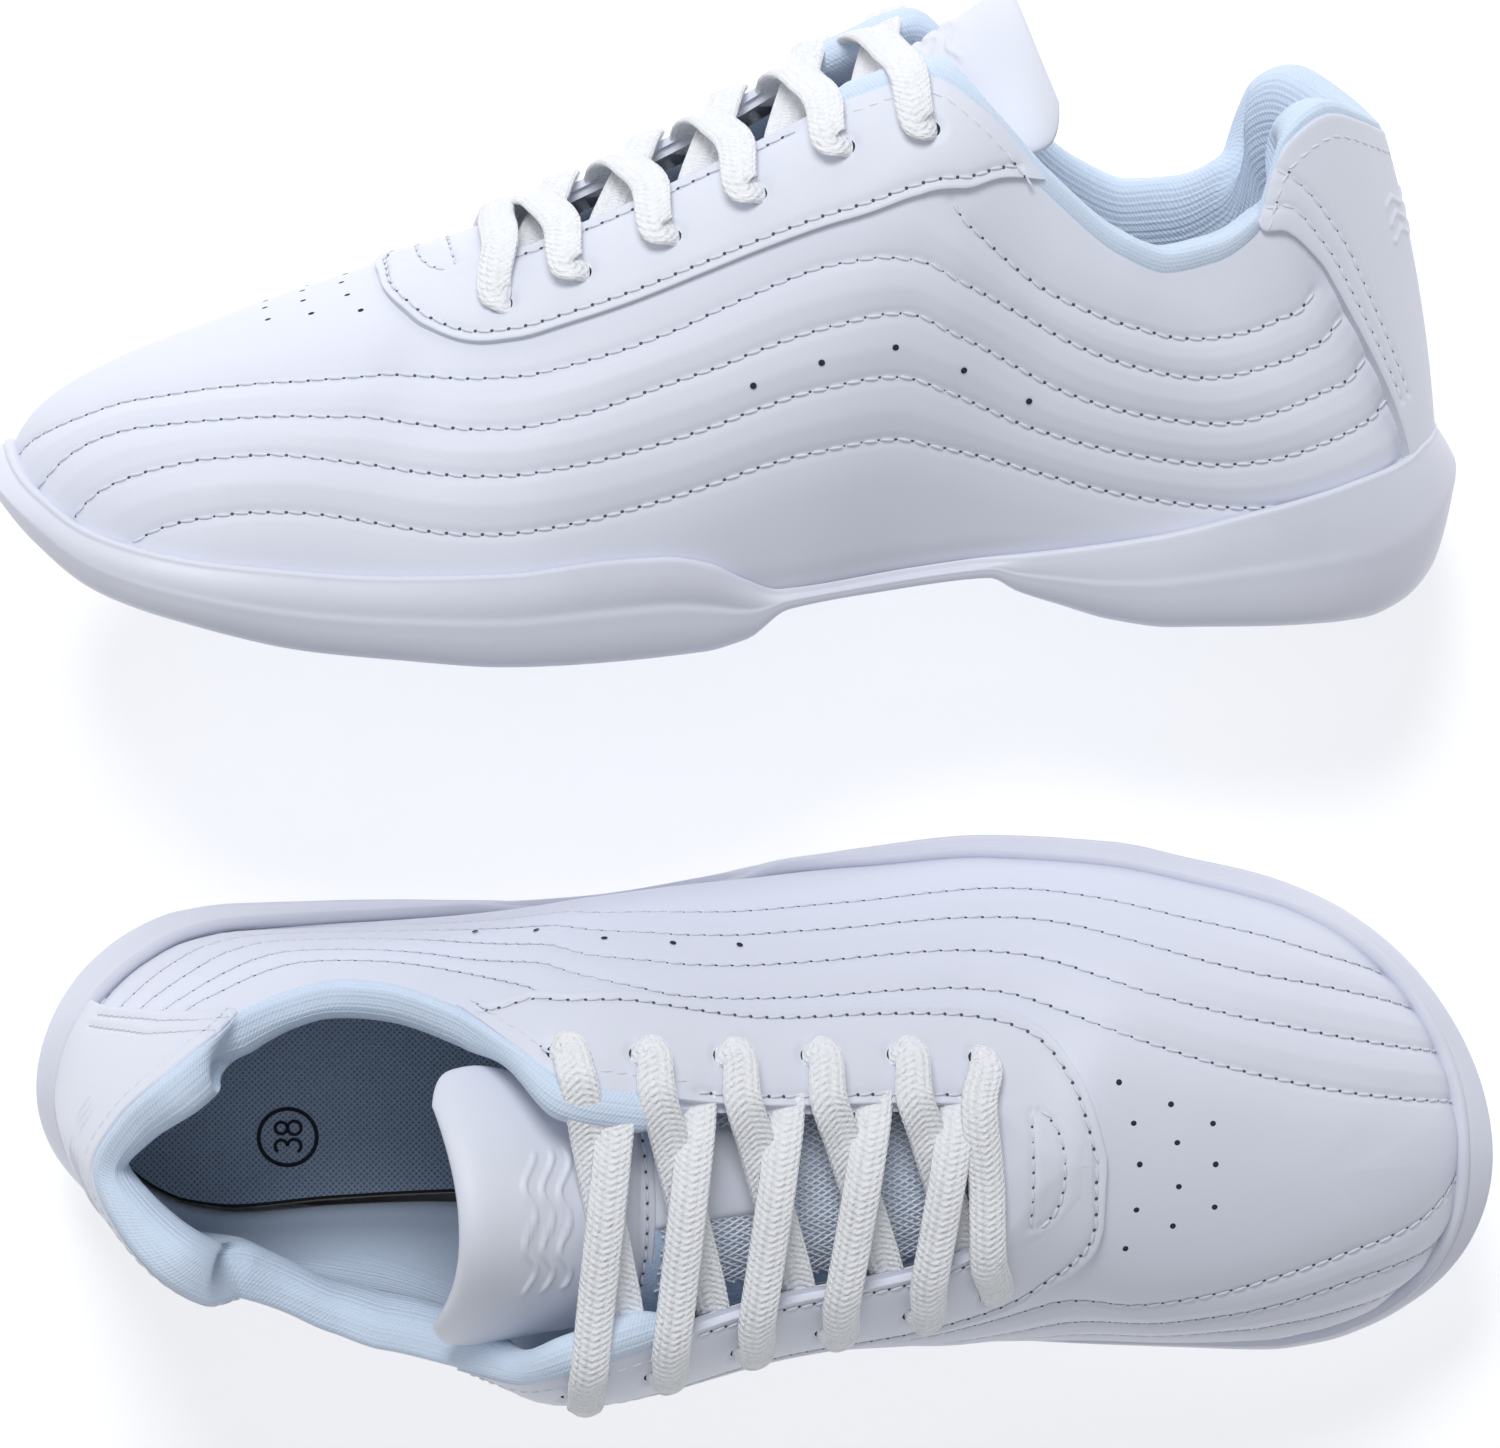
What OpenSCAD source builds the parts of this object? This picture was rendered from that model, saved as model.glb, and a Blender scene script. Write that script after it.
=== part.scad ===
// A pair of soft cheer shoes, flat lace-up trainers with a split moulded sole.
// Each shoe is built in its own frame: heel back at x = 0, toe tip at +x,
// outer (lateral) side at +y, floor at z = 0. The left shoe stands in that frame.
// The right shoe is its mirror image and lies on its outer side beside it.

/* [Size] */
// Overall length of the sole in mm
shoe_length = 270; // [225:1:300]

/* [Upper] */
// Thickness of the outer leather in mm
leather_t = 1.4; // [1.0:0.1:1.6]
// Thickness of the sewn-on overlays in mm
overlay_t = 1.2; // [0.8:0.1:1.4]
// Thickness of the stiffener cups in mm
stiffener_t = 1.0; // [0.6:0.1:1.1]
// Greatest thickness of the ankle padding in mm
padding_t = 4.5; // [2.0:0.5:5.0]
// Diameter of each punched lace hole in mm
eyelet_d = 4.6; // [4.0:0.1:5.2]

/* [Lace] */
// Width of the flat lace in mm
lace_w = 5; // [3:0.5:5]
// Thickness of the flat lace in mm
lace_t = 1.4; // [0.8:0.1:1.4]

/* [Sole] */
// Width of each groove in the tread in mm
groove_w = 1.6; // [1.0:0.1:2.4]
// Spacing of the tread grooves in mm
groove_pitch = 6; // [5:0.5:9]

/* [Placement] */
// Gap between the two shoes along the floor in mm
pair_gap = 50; // [40:1:120]
// How far the tipped shoe is moved along x in mm
pair_shift = 262; // [200:1:320]

/* [Hidden] */
$fn = 48;
// all shapes are drawn for this length, then scaled as a whole
BASE_LENGTH = 270;
size = shoe_length / BASE_LENGTH;

PIECES = ["heel_sole", "arch_band", "ball_sole", "toe_sole", "heel_tread", "ball_tread",
    "toe_tread", "shank", "insole_board", "toe_board", "sockliner", "sockliner_toe",
    "quarter_lateral", "quarter_medial", "vamp_flex_zone", "vamp_toe", "toe_puff", "eyestay",
    "heel_cover", "heel_counter", "collar_padding", "collar_lining", "quarter_lining",
    "tongue_base", "tongue_patch", "tongue_face", "tongue_padding", "tongue_back", "lace"];

// colours shared by several pieces
SOLE = [.89, .9, .94];
TREAD = [.86, .87, .91];
BOARD = [.78, .7, .58];
SOCK = [.4, .45, .52];
LEATHER = [.87, .89, .94];
FOAM = [.93, .9, .8];
LINING = [.8, .87, .97];

// faces of the layers, as distances out from the upper's surface
LEATHER_OUT = -.3;
LEATHER_IN = LEATHER_OUT - leather_t;
OVERLAY_IN = .35;
OVERLAY_OUT = OVERLAY_IN + overlay_t;
STIFF_OUT = -2.3;
STIFF_IN = STIFF_OUT - stiffener_t;

// ---------- small mathematics ----------
function ease(t) = let (u = min(max(t, 0), 1)) u * u * (3 - 2 * u);
function mix(a, b, t) = a + (b - a) * t;
function unit(v) = v / max(norm(v), 1e-9);
function bound(x, low, high) = min(max(x, low), high);
function backward(list) = [for (i = [len(list) - 1:-1:0]) list[i]];
function spans(from, to, steps) = [for (i = [0:steps]) mix(from, to, i / steps)];
// a cubic between two values with a pull at each end
function hermite(start, end, start_pull, end_pull, t) =
    let (t2 = t * t, t3 = t2 * t)
    start * (2 * t3 - 3 * t2 + 1) + start_pull * (t3 - 2 * t2 + t)
    + end * (3 * t2 - 2 * t3) + end_pull * (t3 - t2);

// a curve is a table of [x, y] with a slope at each knot that never overshoots
function slopes(table) =
    let (last = len(table) - 1,
        step = [for (i = [0:last - 1])
            (table[i + 1][1] - table[i][1]) / (table[i + 1][0] - table[i][0])])
    [for (i = [0:last])
        i == 0 ? step[0] : i == last ? step[last - 1] : step[i - 1] * step[i] <= 0 ? 0 :
        let (before = table[i][0] - table[i - 1][0], after = table[i + 1][0] - table[i][0],
            a = 2 * after + before, b = after + 2 * before)
        (a + b) / (a / step[i - 1] + b / step[i])];
function curve(table, column = 1) =
    let (knots = [for (row = table) [row[0], row[column]]], slope = slopes(knots))
    [for (i = [0:len(knots) - 1]) [knots[i][0], knots[i][1], slope[i]]];
function segment(knots, x, i = 0) =
    i >= len(knots) - 2 || x < knots[i + 1][0] ? i : segment(knots, x, i + 1);
function read(knots, x) =
    let (i = segment(knots, x), a = knots[i], b = knots[i + 1], width = b[0] - a[0])
    hermite(a[1], b[1], width * a[2], width * b[2], bound((x - a[0]) / width, 0, 1));

// ---------- the sole outline ----------
// run goes 0..1 from the middle of the heel back to the toe tip along one side;
// side is 1 for lateral and -1 for medial
function x_of(run) = BASE_LENGTH / 2 * (1 - cos(180 * run));
function run_of(x) = acos(1 - bound(x, 0, BASE_LENGTH) / (BASE_LENGTH / 2)) / 180;
function curve_by_x(table) = curve([for (row = table) [run_of(row[0]), row[1]]]);

// the heel is a half ellipse up to HEEL_X, the toe a superellipse from TOE_X on
HEEL_X = 36;
HEEL_HALF = 32.5;
HEEL_MID_Y = .5;
TOE_X = 220;
TOE_HALF = 45.75;
TOE_POWER = 1.85;
TOE_MID_Y = -4.75;
// [x, distance from the x axis] between heel and toe
WAIST_LATERAL = curve([[36, 33], [72, 33.5], [107, 35], [130, 39], [150, 43], [180, 46],
    [200, 45], [212, 42.8], [220, 41]]);
WAIST_MEDIAL = curve([[36, 32], [72, 29.5], [107, 29], [130, 36], [150, 42], [180, 49],
    [200, 50.3], [212, 50.6], [220, 50.5]]);
function heel_y(x, side) =
    HEEL_HALF * sqrt(max(0, 1 - pow((HEEL_X - x) / HEEL_X, 2))) + side * HEEL_MID_Y;
function toe_y(x, side) =
    let (reach = min((x - TOE_X) / (BASE_LENGTH - TOE_X), 1))
    TOE_HALF * pow(max(0, 1 - pow(reach, TOE_POWER)), 1 / TOE_POWER)
    + side * TOE_MID_Y * (1 + reach);
function drawn_y(x, side) = side * (x < HEEL_X ? heel_y(x, side) : x > TOE_X ? toe_y(x, side)
    : read(side > 0 ? WAIST_LATERAL : WAIST_MEDIAL, x));

// the outline used everywhere is a curve through the drawn one at these runs
OUTLINE_RUNS = [0, .04, .08, .12, .16, .2, .24, .3, .36, .42, .48, .54, .6, .66, .7, .74, .78,
    .82, .86, .9, .94, .97, 1];
OUTLINE_LATERAL = curve([for (s = OUTLINE_RUNS) [s, drawn_y(x_of(s), 1)]]);
OUTLINE_MEDIAL = curve([for (s = OUTLINE_RUNS) [s, drawn_y(x_of(s), -1)]]);
function outline_y(run, side) = read(side > 0 ? OUTLINE_LATERAL : OUTLINE_MEDIAL, run);
// outward normal in plan
function outline_normal(run, side) =
    let (step = .002, a = bound(run - step, 0, 1), b = bound(run + step, 0, 1),
        along = [x_of(b) - x_of(a), outline_y(b, side) - outline_y(a, side)])
    unit([-along[1], along[0]]) * side;

// heights along the shoe, [x, z]: top of the sole rim, foot of the upper, underside, footbed
RIM = curve_by_x([[0, 32], [4, 31.2], [7.8, 29.6], [20.7, 27.4], [39, 23.8], [57.7, 19.2],
    [70.7, 17.4], [88, 15.8], [127, 12.2], [134.5, 15.3], [141, 18.9], [150, 20.9],
    [159.5, 21], [178, 19.9], [196.5, 20.2], [224, 22.8], [242.7, 25.6], [253.8, 28.4],
    [263, 33], [270, 38]]);
FOOT = curve_by_x([[0, 20.5], [20, 18.6], [39, 17], [57, 15.9], [75, 15], [88, 14.8],
    [107, 13], [127, 11.3], [150, 12], [180, 12.4], [215, 15.6], [242, 19.5], [258, 24],
    [270, 29]]);
BOTTOM = curve_by_x([[0, 16], [1.3, 12], [6, 4.8], [13, 2.2], [20, 2.1], [55, 2.1], [67, 2.6],
    [76, 5], [83.6, 8], [89, 11], [107, 9.2], [126, 7.6], [133.6, 2.9], [141, 2.1],
    [178, 2.1], [188, 3.2], [196.5, 4.6], [215, 7.2], [233.5, 12], [252, 18], [261, 23.4],
    [267, 28], [270, 31]]);
BED = curve_by_x([[0, 18.6], [20, 17.6], [57, 15.4], [88, 14.4], [127, 11.4], [155, 11.4],
    [180, 12], [215, 15.2], [242, 19.2], [258, 23.5], [270, 28]]);
// [x, inset of the upper's foot from the outline] and [x, outward lean of the upper there]
INSET = curve_by_x([[0, 5.2], [14, 4.2], [36, 3.2], [70, 2.6], [107, 2.2], [150, 2.8],
    [200, 3.2], [250, 3.8], [270, 5]]);
TILT = curve_by_x([[0, .02], [14, .1], [36, .2], [60, .22], [90, .42], [107, .5], [130, .42],
    [160, .22], [200, .14], [240, .1], [270, .1]]);

// ---------- the surface of the upper ----------
// its top edge: collar, throat edge, then the crest over the toes
// [run, x, lateral y, medial y, z]
TOP = [[0, 15, .5, .5, 87], [.03, 19.5, 10, -9, 90.5], [.06, 27, 18, -17, 94],
    [.09, 34.5, 23.5, -22.5, 90], [.1207, 40, 26, -25, 76], [.1757, 48.5, 29, -29, 71.7],
    [.2522, 57, 31, -33, 71], [.3043, 66, 31.5, -35, 75], [.3667, 79, 30, -35, 86.6],
    [.4164, 91, 25, -34, 100], [.44, 99, 20, -31, 105], [.4787, 112, 16.5, -27.5, 101],
    [.5354, 137, 11.5, -22.5, 88.5], [.5838, 160, 9.5, -20.5, 78],
    [.6268, 179, 6.5, -15.5, 70.5], [.66, 187.5, -1.8, -3.6, 69.7],
    [.69, 193, -2.6, -3.4, 68.2], [.7206, 199, -3.2, -3.2, 66], [.7709, 213, -5, -5, 62],
    [.8319, 226, -6.5, -6.5, 58], [.8901, 236, -7.5, -7.5, 55], [.95, 241, -8, -8, 53.3],
    [1, 243, -8, -8, 52.6]];
TOP_X = curve(TOP, 1);
TOP_LATERAL = curve(TOP, 2);
TOP_MEDIAL = curve(TOP, 3);
TOP_Z = curve(TOP, 4);
// [run, strength of the pull] at the foot and at the top edge
FOOT_PULL = [[0, 1], [.5, 1], [.7, 1.15], [1, 1.25]];
TOP_PULL = [[0, .8], [.25, .8], [.5, 1], [.7, 1.15], [1, 1.1]];

// a rib is a cubic from the foot of the upper to its top edge: [foot, top, foot pull, top pull]
function rib(run, side) =
    let (normal = outline_normal(run, side),
        inset = read(INSET, run),
        foot = [x_of(run) - normal[0] * inset, outline_y(run, side) - normal[1] * inset,
            read(FOOT, run)],
        top = [read(TOP_X, run), read(side > 0 ? TOP_LATERAL : TOP_MEDIAL, run),
            read(TOP_Z, run)],
        reach = norm(top - foot),
        tilt = read(TILT, run),
        foot_dir = unit([normal[0] * tilt, normal[1] * tilt, 1]),
        // the top direction blends from heel to collar to throat to toe
        turn = 90 * bound((run - .7) / .3, 0, 1),
        heel = [-normal[0] * .3, -normal[1] * .3, 1],
        collar = [-.05, -side * .28, 1],
        throat = [-.12, -side, .62],
        toe = [-sin(turn) * .962, -side * cos(turn), sin(turn) * .27],
        front = mix(mix(collar, throat, ease((run - .36) / .11)), toe, ease((run - .6) / .1)),
        top_dir = unit(mix(front, heel, bound(1 - run / .12, 0, 1))))
    [foot, top, foot_dir * reach * lookup(run, FOOT_PULL),
        top_dir * reach * lookup(run, TOP_PULL)];
// rise goes 0..1 up a rib
function on_rib(line, rise) = hermite(line[0], line[1], line[2], line[3], rise);
function rib_dir(line, rise) =
    let (t = rise, t2 = t * t)
    line[0] * (6 * t2 - 6 * t) + line[2] * (3 * t2 - 4 * t + 1)
    + line[1] * (6 * t - 6 * t2) + line[3] * (3 * t2 - 2 * t);
// past either end of the outline the other side carries on
function rib_past(run, side) =
    run < 0 ? rib(-run, -side) : run > 1 ? rib(2 - run, -side) : rib(run, side);
// a point on the upper, moved out along the outward normal
function skin(run, rise, side, out = 0) =
    let (line = rib(run, side), step = .006,
        level = run > .66 ? min(rise, .95) : rise, // keeps the normal sound at the crest
        across = on_rib(rib_past(run + step, side), level)
            - on_rib(rib_past(run - step, side), level))
    on_rib(line, rise) + out * unit(cross(rib_dir(line, level), across)) * side;

// ---------- polyhedra ----------
function quad(a, b, c, d) = [[a, b, c], [a, c, d]];
function turned(faces) = [for (face = faces) backward(face)];
// a sheet from a grid of [run, rise, side, outer offset, inner offset]
module sheet(grid, flip = false, zip = false) {
    outer = [for (row = grid) for (g = row) skin(g[0], g[1], g[2], g[3])];
    inner = [for (row = grid) for (g = row) skin(g[0], g[1], g[2], g[4])];
    slab(concat(outer, inner), len(grid), len(grid[0]), flip, zip);
}
// two layers of rows x columns points, joined round the rim;
// zip folds the last row onto itself
module slab(points, rows, columns, flip = false, zip = false) {
    last = rows - 1;
    edge = columns - 1;
    function id(l, i, j) = (l * rows + i) * columns + (zip && i == last ? min(j, edge - j) : j);
    faces = concat(
        [for (i = [0:last - 1]) for (j = [0:edge - 1])
            each quad(id(0, i, j), id(0, i + 1, j), id(0, i + 1, j + 1), id(0, i, j + 1))],
        [for (i = [0:last - 1]) for (j = [0:edge - 1])
            each quad(id(1, i, j), id(1, i, j + 1), id(1, i + 1, j + 1), id(1, i + 1, j))],
        [for (i = [0:last - 1])
            each quad(id(0, i + 1, 0), id(0, i, 0), id(1, i, 0), id(1, i + 1, 0))],
        [for (i = [0:last - 1])
            each quad(id(0, i, edge), id(0, i + 1, edge), id(1, i + 1, edge), id(1, i, edge))],
        [for (j = [0:edge - 1])
            each quad(id(0, 0, j), id(0, 0, j + 1), id(1, 0, j + 1), id(1, 0, j))],
        zip ? [] : [for (j = [0:edge - 1])
            each quad(id(0, last, j + 1), id(0, last, j), id(1, last, j), id(1, last, j + 1))]);
    polyhedron(points, flip ? turned(faces) : faces, convexity = 8);
}
// rings of equal length, each out along one side and back along the other, closed by ladders;
// with seven rings an end can be cut, which gives it a U-shaped section
module loft(rings, cut_start = false, cut_end = false) {
    count = len(rings[0]);
    half = count / 2;
    top = (len(rings) - 1) * count;
    ladder = [for (i = [0:half - 2]) each quad(i, i + 1, count - 2 - i, count - 1 - i)];
    function levels(i) = [for (l = [0:6]) l * count + i];
    // p and q are the seven levels on either side of the cut
    function cut_faces(p, q) = [
        [p[5], p[6], p[0]], [p[5], p[0], p[1]], [p[5], p[1], p[2]], [p[5], p[2], p[3]],
        [p[5], p[3], p[4]], [p[6], q[6], q[0]], [p[6], q[0], p[0]], [q[5], q[4], q[3]],
        [q[5], q[3], q[2]], [q[5], q[2], q[1]], [q[5], q[1], q[0]], [q[5], q[0], q[6]]];
    faces = concat(
        [for (l = [0:len(rings) - 2]) for (i = [0:count - 1])
            if (!(cut_end && i == half - 1) && !(cut_start && i == count - 1))
                let (j = (i + 1) % count, a = l * count, b = a + count)
                each quad(a + i, b + i, b + j, a + j)],
        cut_end ? cut_faces(levels(half - 1), levels(half)) : [],
        cut_start ? cut_faces(levels(count - 1), levels(0)) : [],
        ladder,
        turned([for (face = ladder) [for (i = face) i + top]]));
    polyhedron([for (ring = rings) each ring], turned(faces), convexity = 6);
}

// ---------- rings ----------
// [run, side] out along the lateral side and back along the medial side
function circuit(from, to, steps) = concat([for (s = spans(from, to, steps)) [s, 1]],
    [for (s = spans(to, from, steps)) [s, -1]]);
function inset_point(run, side, inset, heights, lift) =
    let (normal = outline_normal(run, side), x = x_of(run) - normal[0] * inset)
    [x, outline_y(run, side) - normal[1] * inset, read(heights, run_of(x)) + lift];
function inset_ring(path, inset, heights, lift) =
    [for (c = path) inset_point(c[0], c[1], inset, heights, lift)];
// the rise at which a rib reaches height z, by halving
function rise_at(line, z, low = 0, high = .45, tries = 0) =
    let (middle = (low + high) / 2)
    tries > 9 ? middle
    : on_rib(line, middle)[2] < z ? rise_at(line, z, middle, high, tries + 1)
    : rise_at(line, z, low, middle, tries + 1);
function rim_rise(run, side) = rise_at(rib(run, side), read(RIM, run));
function rim_ring(path, out) =
    [for (c = path) let (p = skin(c[0], rim_rise(c[0], c[1]), c[1], out))
        [p[0], p[1], read(RIM, c[0])]];
function foot_ring(path, out, drop) =
    [for (c = path) skin(c[0], 0, c[1], out) - [0, 0, drop]];
// the full outline, halfway up the side wall
function wide_ring(path) =
    [for (c = path) [x_of(c[0]), outline_y(c[0], c[1]),
        mix(read(BOTTOM, c[0]), read(RIM, c[0]), .5)]];

// ---------- sole ----------
RIM_OUT = 1.9;     // outer edge of the rim, out from the upper
RIM_IN = .6;       // inner edge of the rim
FOOT_OUT = .5;     // sole wall beside the upper's foot
FOOT_DROP = .7;
WELL_INSET = 9;    // floor of the sole, in from the outline
WELL_DROP = 2.8;   // and below the footbed
TREAD_T = 2;
TREAD_INSET = 6.5;
GROOVE_LENGTH = 18;
GROOVE_Y = 13;

// bevel is the inset of the bottom face
module sole_unit(path, bevel, cut_start = true, cut_end = true) {
    color(SOLE) loft([
        inset_ring(path, bevel, BOTTOM, 0),
        inset_ring(path, bevel * .3, BOTTOM, bevel * .5),
        wide_ring(path),
        rim_ring(path, RIM_OUT),
        rim_ring(path, RIM_IN),
        foot_ring(path, FOOT_OUT, FOOT_DROP),
        inset_ring(path, WELL_INSET, BED, -WELL_DROP)], cut_start, cut_end);
}
module heel_sole() sole_unit(circuit(.02, run_of(88.2), 22), 5, cut_start = false);
module arch_band() sole_unit(circuit(run_of(90), run_of(124.8), 6), 3);
module ball_sole() sole_unit(circuit(run_of(126.6), run_of(206.6), 14), 5);
module toe_sole() sole_unit(circuit(run_of(209.6), .98, 20), 5, cut_end = false);

// a flat tread with two rows of grooves cut across it
module tread(path, first_groove, last_groove) {
    color(TREAD) linear_extrude(TREAD_T) difference() {
        polygon([for (p = inset_ring(path, TREAD_INSET, BOTTOM, 0)) [p[0], p[1]]]);
        for (x = [first_groove:groove_pitch:last_groove]) for (y = [-GROOVE_Y, GROOVE_Y])
            translate([x, y]) square([groove_w, GROOVE_LENGTH], center = true);
    }
}
module heel_tread() tread(circuit(run_of(14), run_of(60), 12), 22, 54);
module ball_tread() tread(circuit(run_of(140), run_of(184), 10), 146, 180);

// a plate that follows a height curve, between two distances above it
module plate(path, inset, heights, low, high) {
    loft([inset_ring(path, inset, heights, low), inset_ring(path, inset, heights, high)]);
}
module toe_tread()
    color(TREAD) plate(circuit(run_of(212), run_of(250), 8), 8, BOTTOM, -1.9, -.15);
// a narrow strip under the footbed, from y = -7 to y = 9
module shank() color([.5, .52, .55]) loft([for (z = [-1.9, -.5])
    [for (c = circuit(run_of(66), run_of(150), 8))
        [x_of(c[0]), 1 + 8 * c[1], read(BED, c[0]) + z]]]);
module insole_board() color(BOARD) plate(circuit(.05, run_of(204.5), 18), 8, BED, 0, 1.5);
module toe_board() color(BOARD) plate(circuit(run_of(210), .965, 10), 8, BED, 0, 1.5);
module sockliner() color(SOCK) plate(circuit(.06, run_of(198.5), 18), 11, BED, 2, 5);
module sockliner_toe() color(SOCK) plate(circuit(run_of(210), .96, 10), 9.5, BED, 2, 5);

// ---------- lace holes ----------
// [run, rise] of each hole, from the ankle towards the toe
EYES_LATERAL = [[.435, .93], [.476, .9], [.511, .88], [.545, .868], [.578, .866], [.611, .862]];
EYES_MEDIAL = [[.44, .87], [.482, .87], [.517, .846], [.55, .833], [.584, .833], [.615, .81]];
LAST_EYE = len(EYES_LATERAL) - 1;
BORE_LENGTH = 9;
function eye(i, side) = side > 0 ? EYES_LATERAL[i] : EYES_MEDIAL[i];
function eye_point(i, side, out = 0) = skin(eye(i, side)[0], eye(i, side)[1], side, out);
function eye_normal(i, side) = unit(eye_point(i, side, 1) - eye_point(i, side));
module bore(point, normal)
    translate(point) rotate([0, acos(normal[2]), atan2(normal[1], normal[0])])
        cylinder(r = eyelet_d / 2, h = BORE_LENGTH, center = true, $fn = 32);
// bores the holes of one side through its children, normal to the surface
module holes(side) difference() {
    children();
    for (i = [0:LAST_EYE]) bore(eye_point(i, side), eye_normal(i, side));
}

// ---------- upper ----------
// seam between heel cover and quarters, [rise, run]
SEAM = curve([[0, .104], [.1, .104], [.3, .099], [.5, .096], [.63, .095], [.72, .098],
    [.81, .103], [.97, .119], [1, .1207]]);
// rear and front edge of the bending zone
function flex_rear(rise) = mix(run_of(205), .724, rise);
function flex_front(rise) = mix(run_of(211.5), .9, ease(rise) * .5 + rise * .5);
QUARTER_LAP = .012;   // quarters reach this run under the heel cover
FLEX_GAP = .004;
TOP_RISE = .985;      // panels end just short of the top edge

module quarter(side) color(LEATHER) holes(side)
    sheet([for (i = [0:20]) [for (t = [0, .12, .25, .38, .5, .62, .74, .86, TOP_RISE])
        [mix(read(SEAM, t) - QUARTER_LAP, flex_rear(t), i / 20), t, side,
            LEATHER_OUT, LEATHER_IN]]], flip = side < 0);
module quarter_lateral() quarter(1);
module quarter_medial() quarter(-1);

// [rise, side] up one side, over the crest and down the other
function over_crest(rises) = concat([for (t = rises) [t, 1]],
    [for (i = [len(rises) - 2:-1:0]) [rises[i], -1]]);
VAMP_COLUMNS = over_crest([0, .12, .25, .38, .5, .62, .74, .87, 1]);
PUFF_COLUMNS = over_crest([.08, .25, .4, .55, .7, .85, 1]);
module vamp_flex_zone() color(LEATHER)
    sheet([for (i = [0:5]) [for (c = VAMP_COLUMNS)
        [mix(flex_rear(c[0]) + FLEX_GAP, flex_front(c[0]) - FLEX_GAP, i / 5), c[0], c[1],
            LEATHER_OUT, LEATHER_IN]]]);
module vamp_toe() color(LEATHER)
    sheet([for (i = [0:9]) [for (c = VAMP_COLUMNS)
        [mix(flex_front(c[0]), 1, i / 9), c[0], c[1], LEATHER_OUT, LEATHER_IN]]], zip = true);
module toe_puff() color([.8, .8, .76])
    sheet([for (i = [0:6]) [for (c = PUFF_COLUMNS)
        [mix(flex_front(c[0]) + .03, 1, i / 6), c[0], c[1], STIFF_OUT, STIFF_IN]]], zip = true);

// the U-shaped eyestay; its lower edge is [run, rise]
EYESTAY_EDGE = curve([[.367, .995], [.403, .871], [.425, .783], [.444, .735], [.47, .715],
    [.515, .714], [.565, .704], [.605, .706], [.645, .698], [.667, .695], [.699, .745],
    [.716, .83], [.727, .985]]);
// rows as [run at the throat edge, run at the lower edge], fanning out at the tip
EYESTAY_ROWS = concat(
    [for (s = [.375, .39, .405, .425, .45, .48, .51, .54, .57, .6, .625, .645]) [s, s]],
    [[.655, .668], [.66, .69], [.664, .709], [.668, .721]]);
EYESTAY_TIP = [.67, .7275];
function eyestay_points(runs, top, edge, side) = [for (w = [0, .33, .66, 1])
    [mix(runs[0], runs[1], w), mix(top, edge, w), side, OVERLAY_OUT, OVERLAY_IN]];
function eyestay_row(runs, side) =
    eyestay_points(runs, TOP_RISE, read(EYESTAY_EDGE, runs[1]), side);
module eyestay() color(LEATHER) holes(1) holes(-1) sheet(concat(
    [for (row = EYESTAY_ROWS) eyestay_row(row, 1)],
    [eyestay_points(EYESTAY_TIP, 1, 1, 1)],
    [for (row = backward(EYESTAY_ROWS)) eyestay_row(row, -1)]), flip = true);

// pieces round the heel step from the medial side (negative) to the lateral side
function both_ways(limit, steps) = [for (i = [-steps:steps]) limit * i / steps];
function side_of(u) = u < 0 ? -1 : 1;
// full thickness in the middle, lapping over the quarters at its side edges
module heel_cover() color(LEATHER)
    sheet([for (u = both_ways(1, 7)) [for (f = [0, .14, .28, .42, .56, .68, .78, .88, 1])
        let (rise = mix(rim_rise(abs(u) * .1, 1) + .03, TOP_RISE, f))
        [abs(u) * read(SEAM, rise), rise, side_of(u), OVERLAY_OUT,
            abs(u) > .75 ? OVERLAY_IN : LEATHER_IN]]]);
COUNTER_RUN = .3;
module heel_counter() color([.82, .78, .7])
    sheet([for (u = both_ways(COUNTER_RUN, 9)) [for (t = [.06, .2, .34, .48, .6])
        [abs(u), t * mix(1, .8, abs(u) / COUNTER_RUN), side_of(u), STIFF_OUT, STIFF_IN]]]);

PAD_HALF = [.02, .045, .07, .1, .13, .17, .21, .25, .29, .33, .365, .4];
PAD_RUNS = concat(-backward(PAD_HALF), PAD_HALF);
PAD_RISES = [.66, .72, .79, .86, .92, .96];
// padding thickness: full round the heel, thinner towards its front ends
function pad(run, rise) = padding_t * pow(max(0, sin(180 * bound((rise - .6) / .37, 0, 1))), .6)
    * mix(1, .35, ease((run - .28) / .12));
module collar_padding() color(FOAM)
    sheet([for (u = PAD_RUNS) [for (t = PAD_RISES)
        [abs(u), t, side_of(u), -2.8, -3.2 - pad(abs(u), t)]]]);
module collar_lining() color(LINING)
    sheet([for (u = PAD_RUNS) [for (t = concat([.16, .3, .45, .6], PAD_RISES, [.99]))
        let (depth = t < .61 ? 4.4 : 3.9 + pad(abs(u), t) + (t > .97 ? -1 : 0))
        [abs(u), t, side_of(u), -depth, -depth - .8]]]);
module quarter_lining() color(LINING) for (side = [1, -1])
    sheet([for (i = [0:10]) [for (t = [.1, .26, .42, .58, .74, .9])
        [mix(.415, flex_rear(t) - .012, i / 10), t, side, -3.3, -4.0]]], flip = side < 0);

// ---------- tongue ----------
// centre line from the vamp to the tip:
// [along, x, z, half width, drop of the edges, shift of the edges in x]
TONGUE = [[0, 184, 64.5, 10, 2.5, 0], [.2, 160, 73, 18, 6, 0], [.4, 138, 82.5, 21, 8.5, 0],
    [.6, 116, 94, 24, 10.5, -3], [.75, 101, 102.2, 25.5, 13, -7],
    [.88, 92.5, 108.6, 25, 19, -12], [1, 87, 114, 21, 24, -14]];
TONGUE_Y = -5;
TONGUE_CURVES = [for (column = [1:5]) curve(TONGUE, column)];
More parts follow.
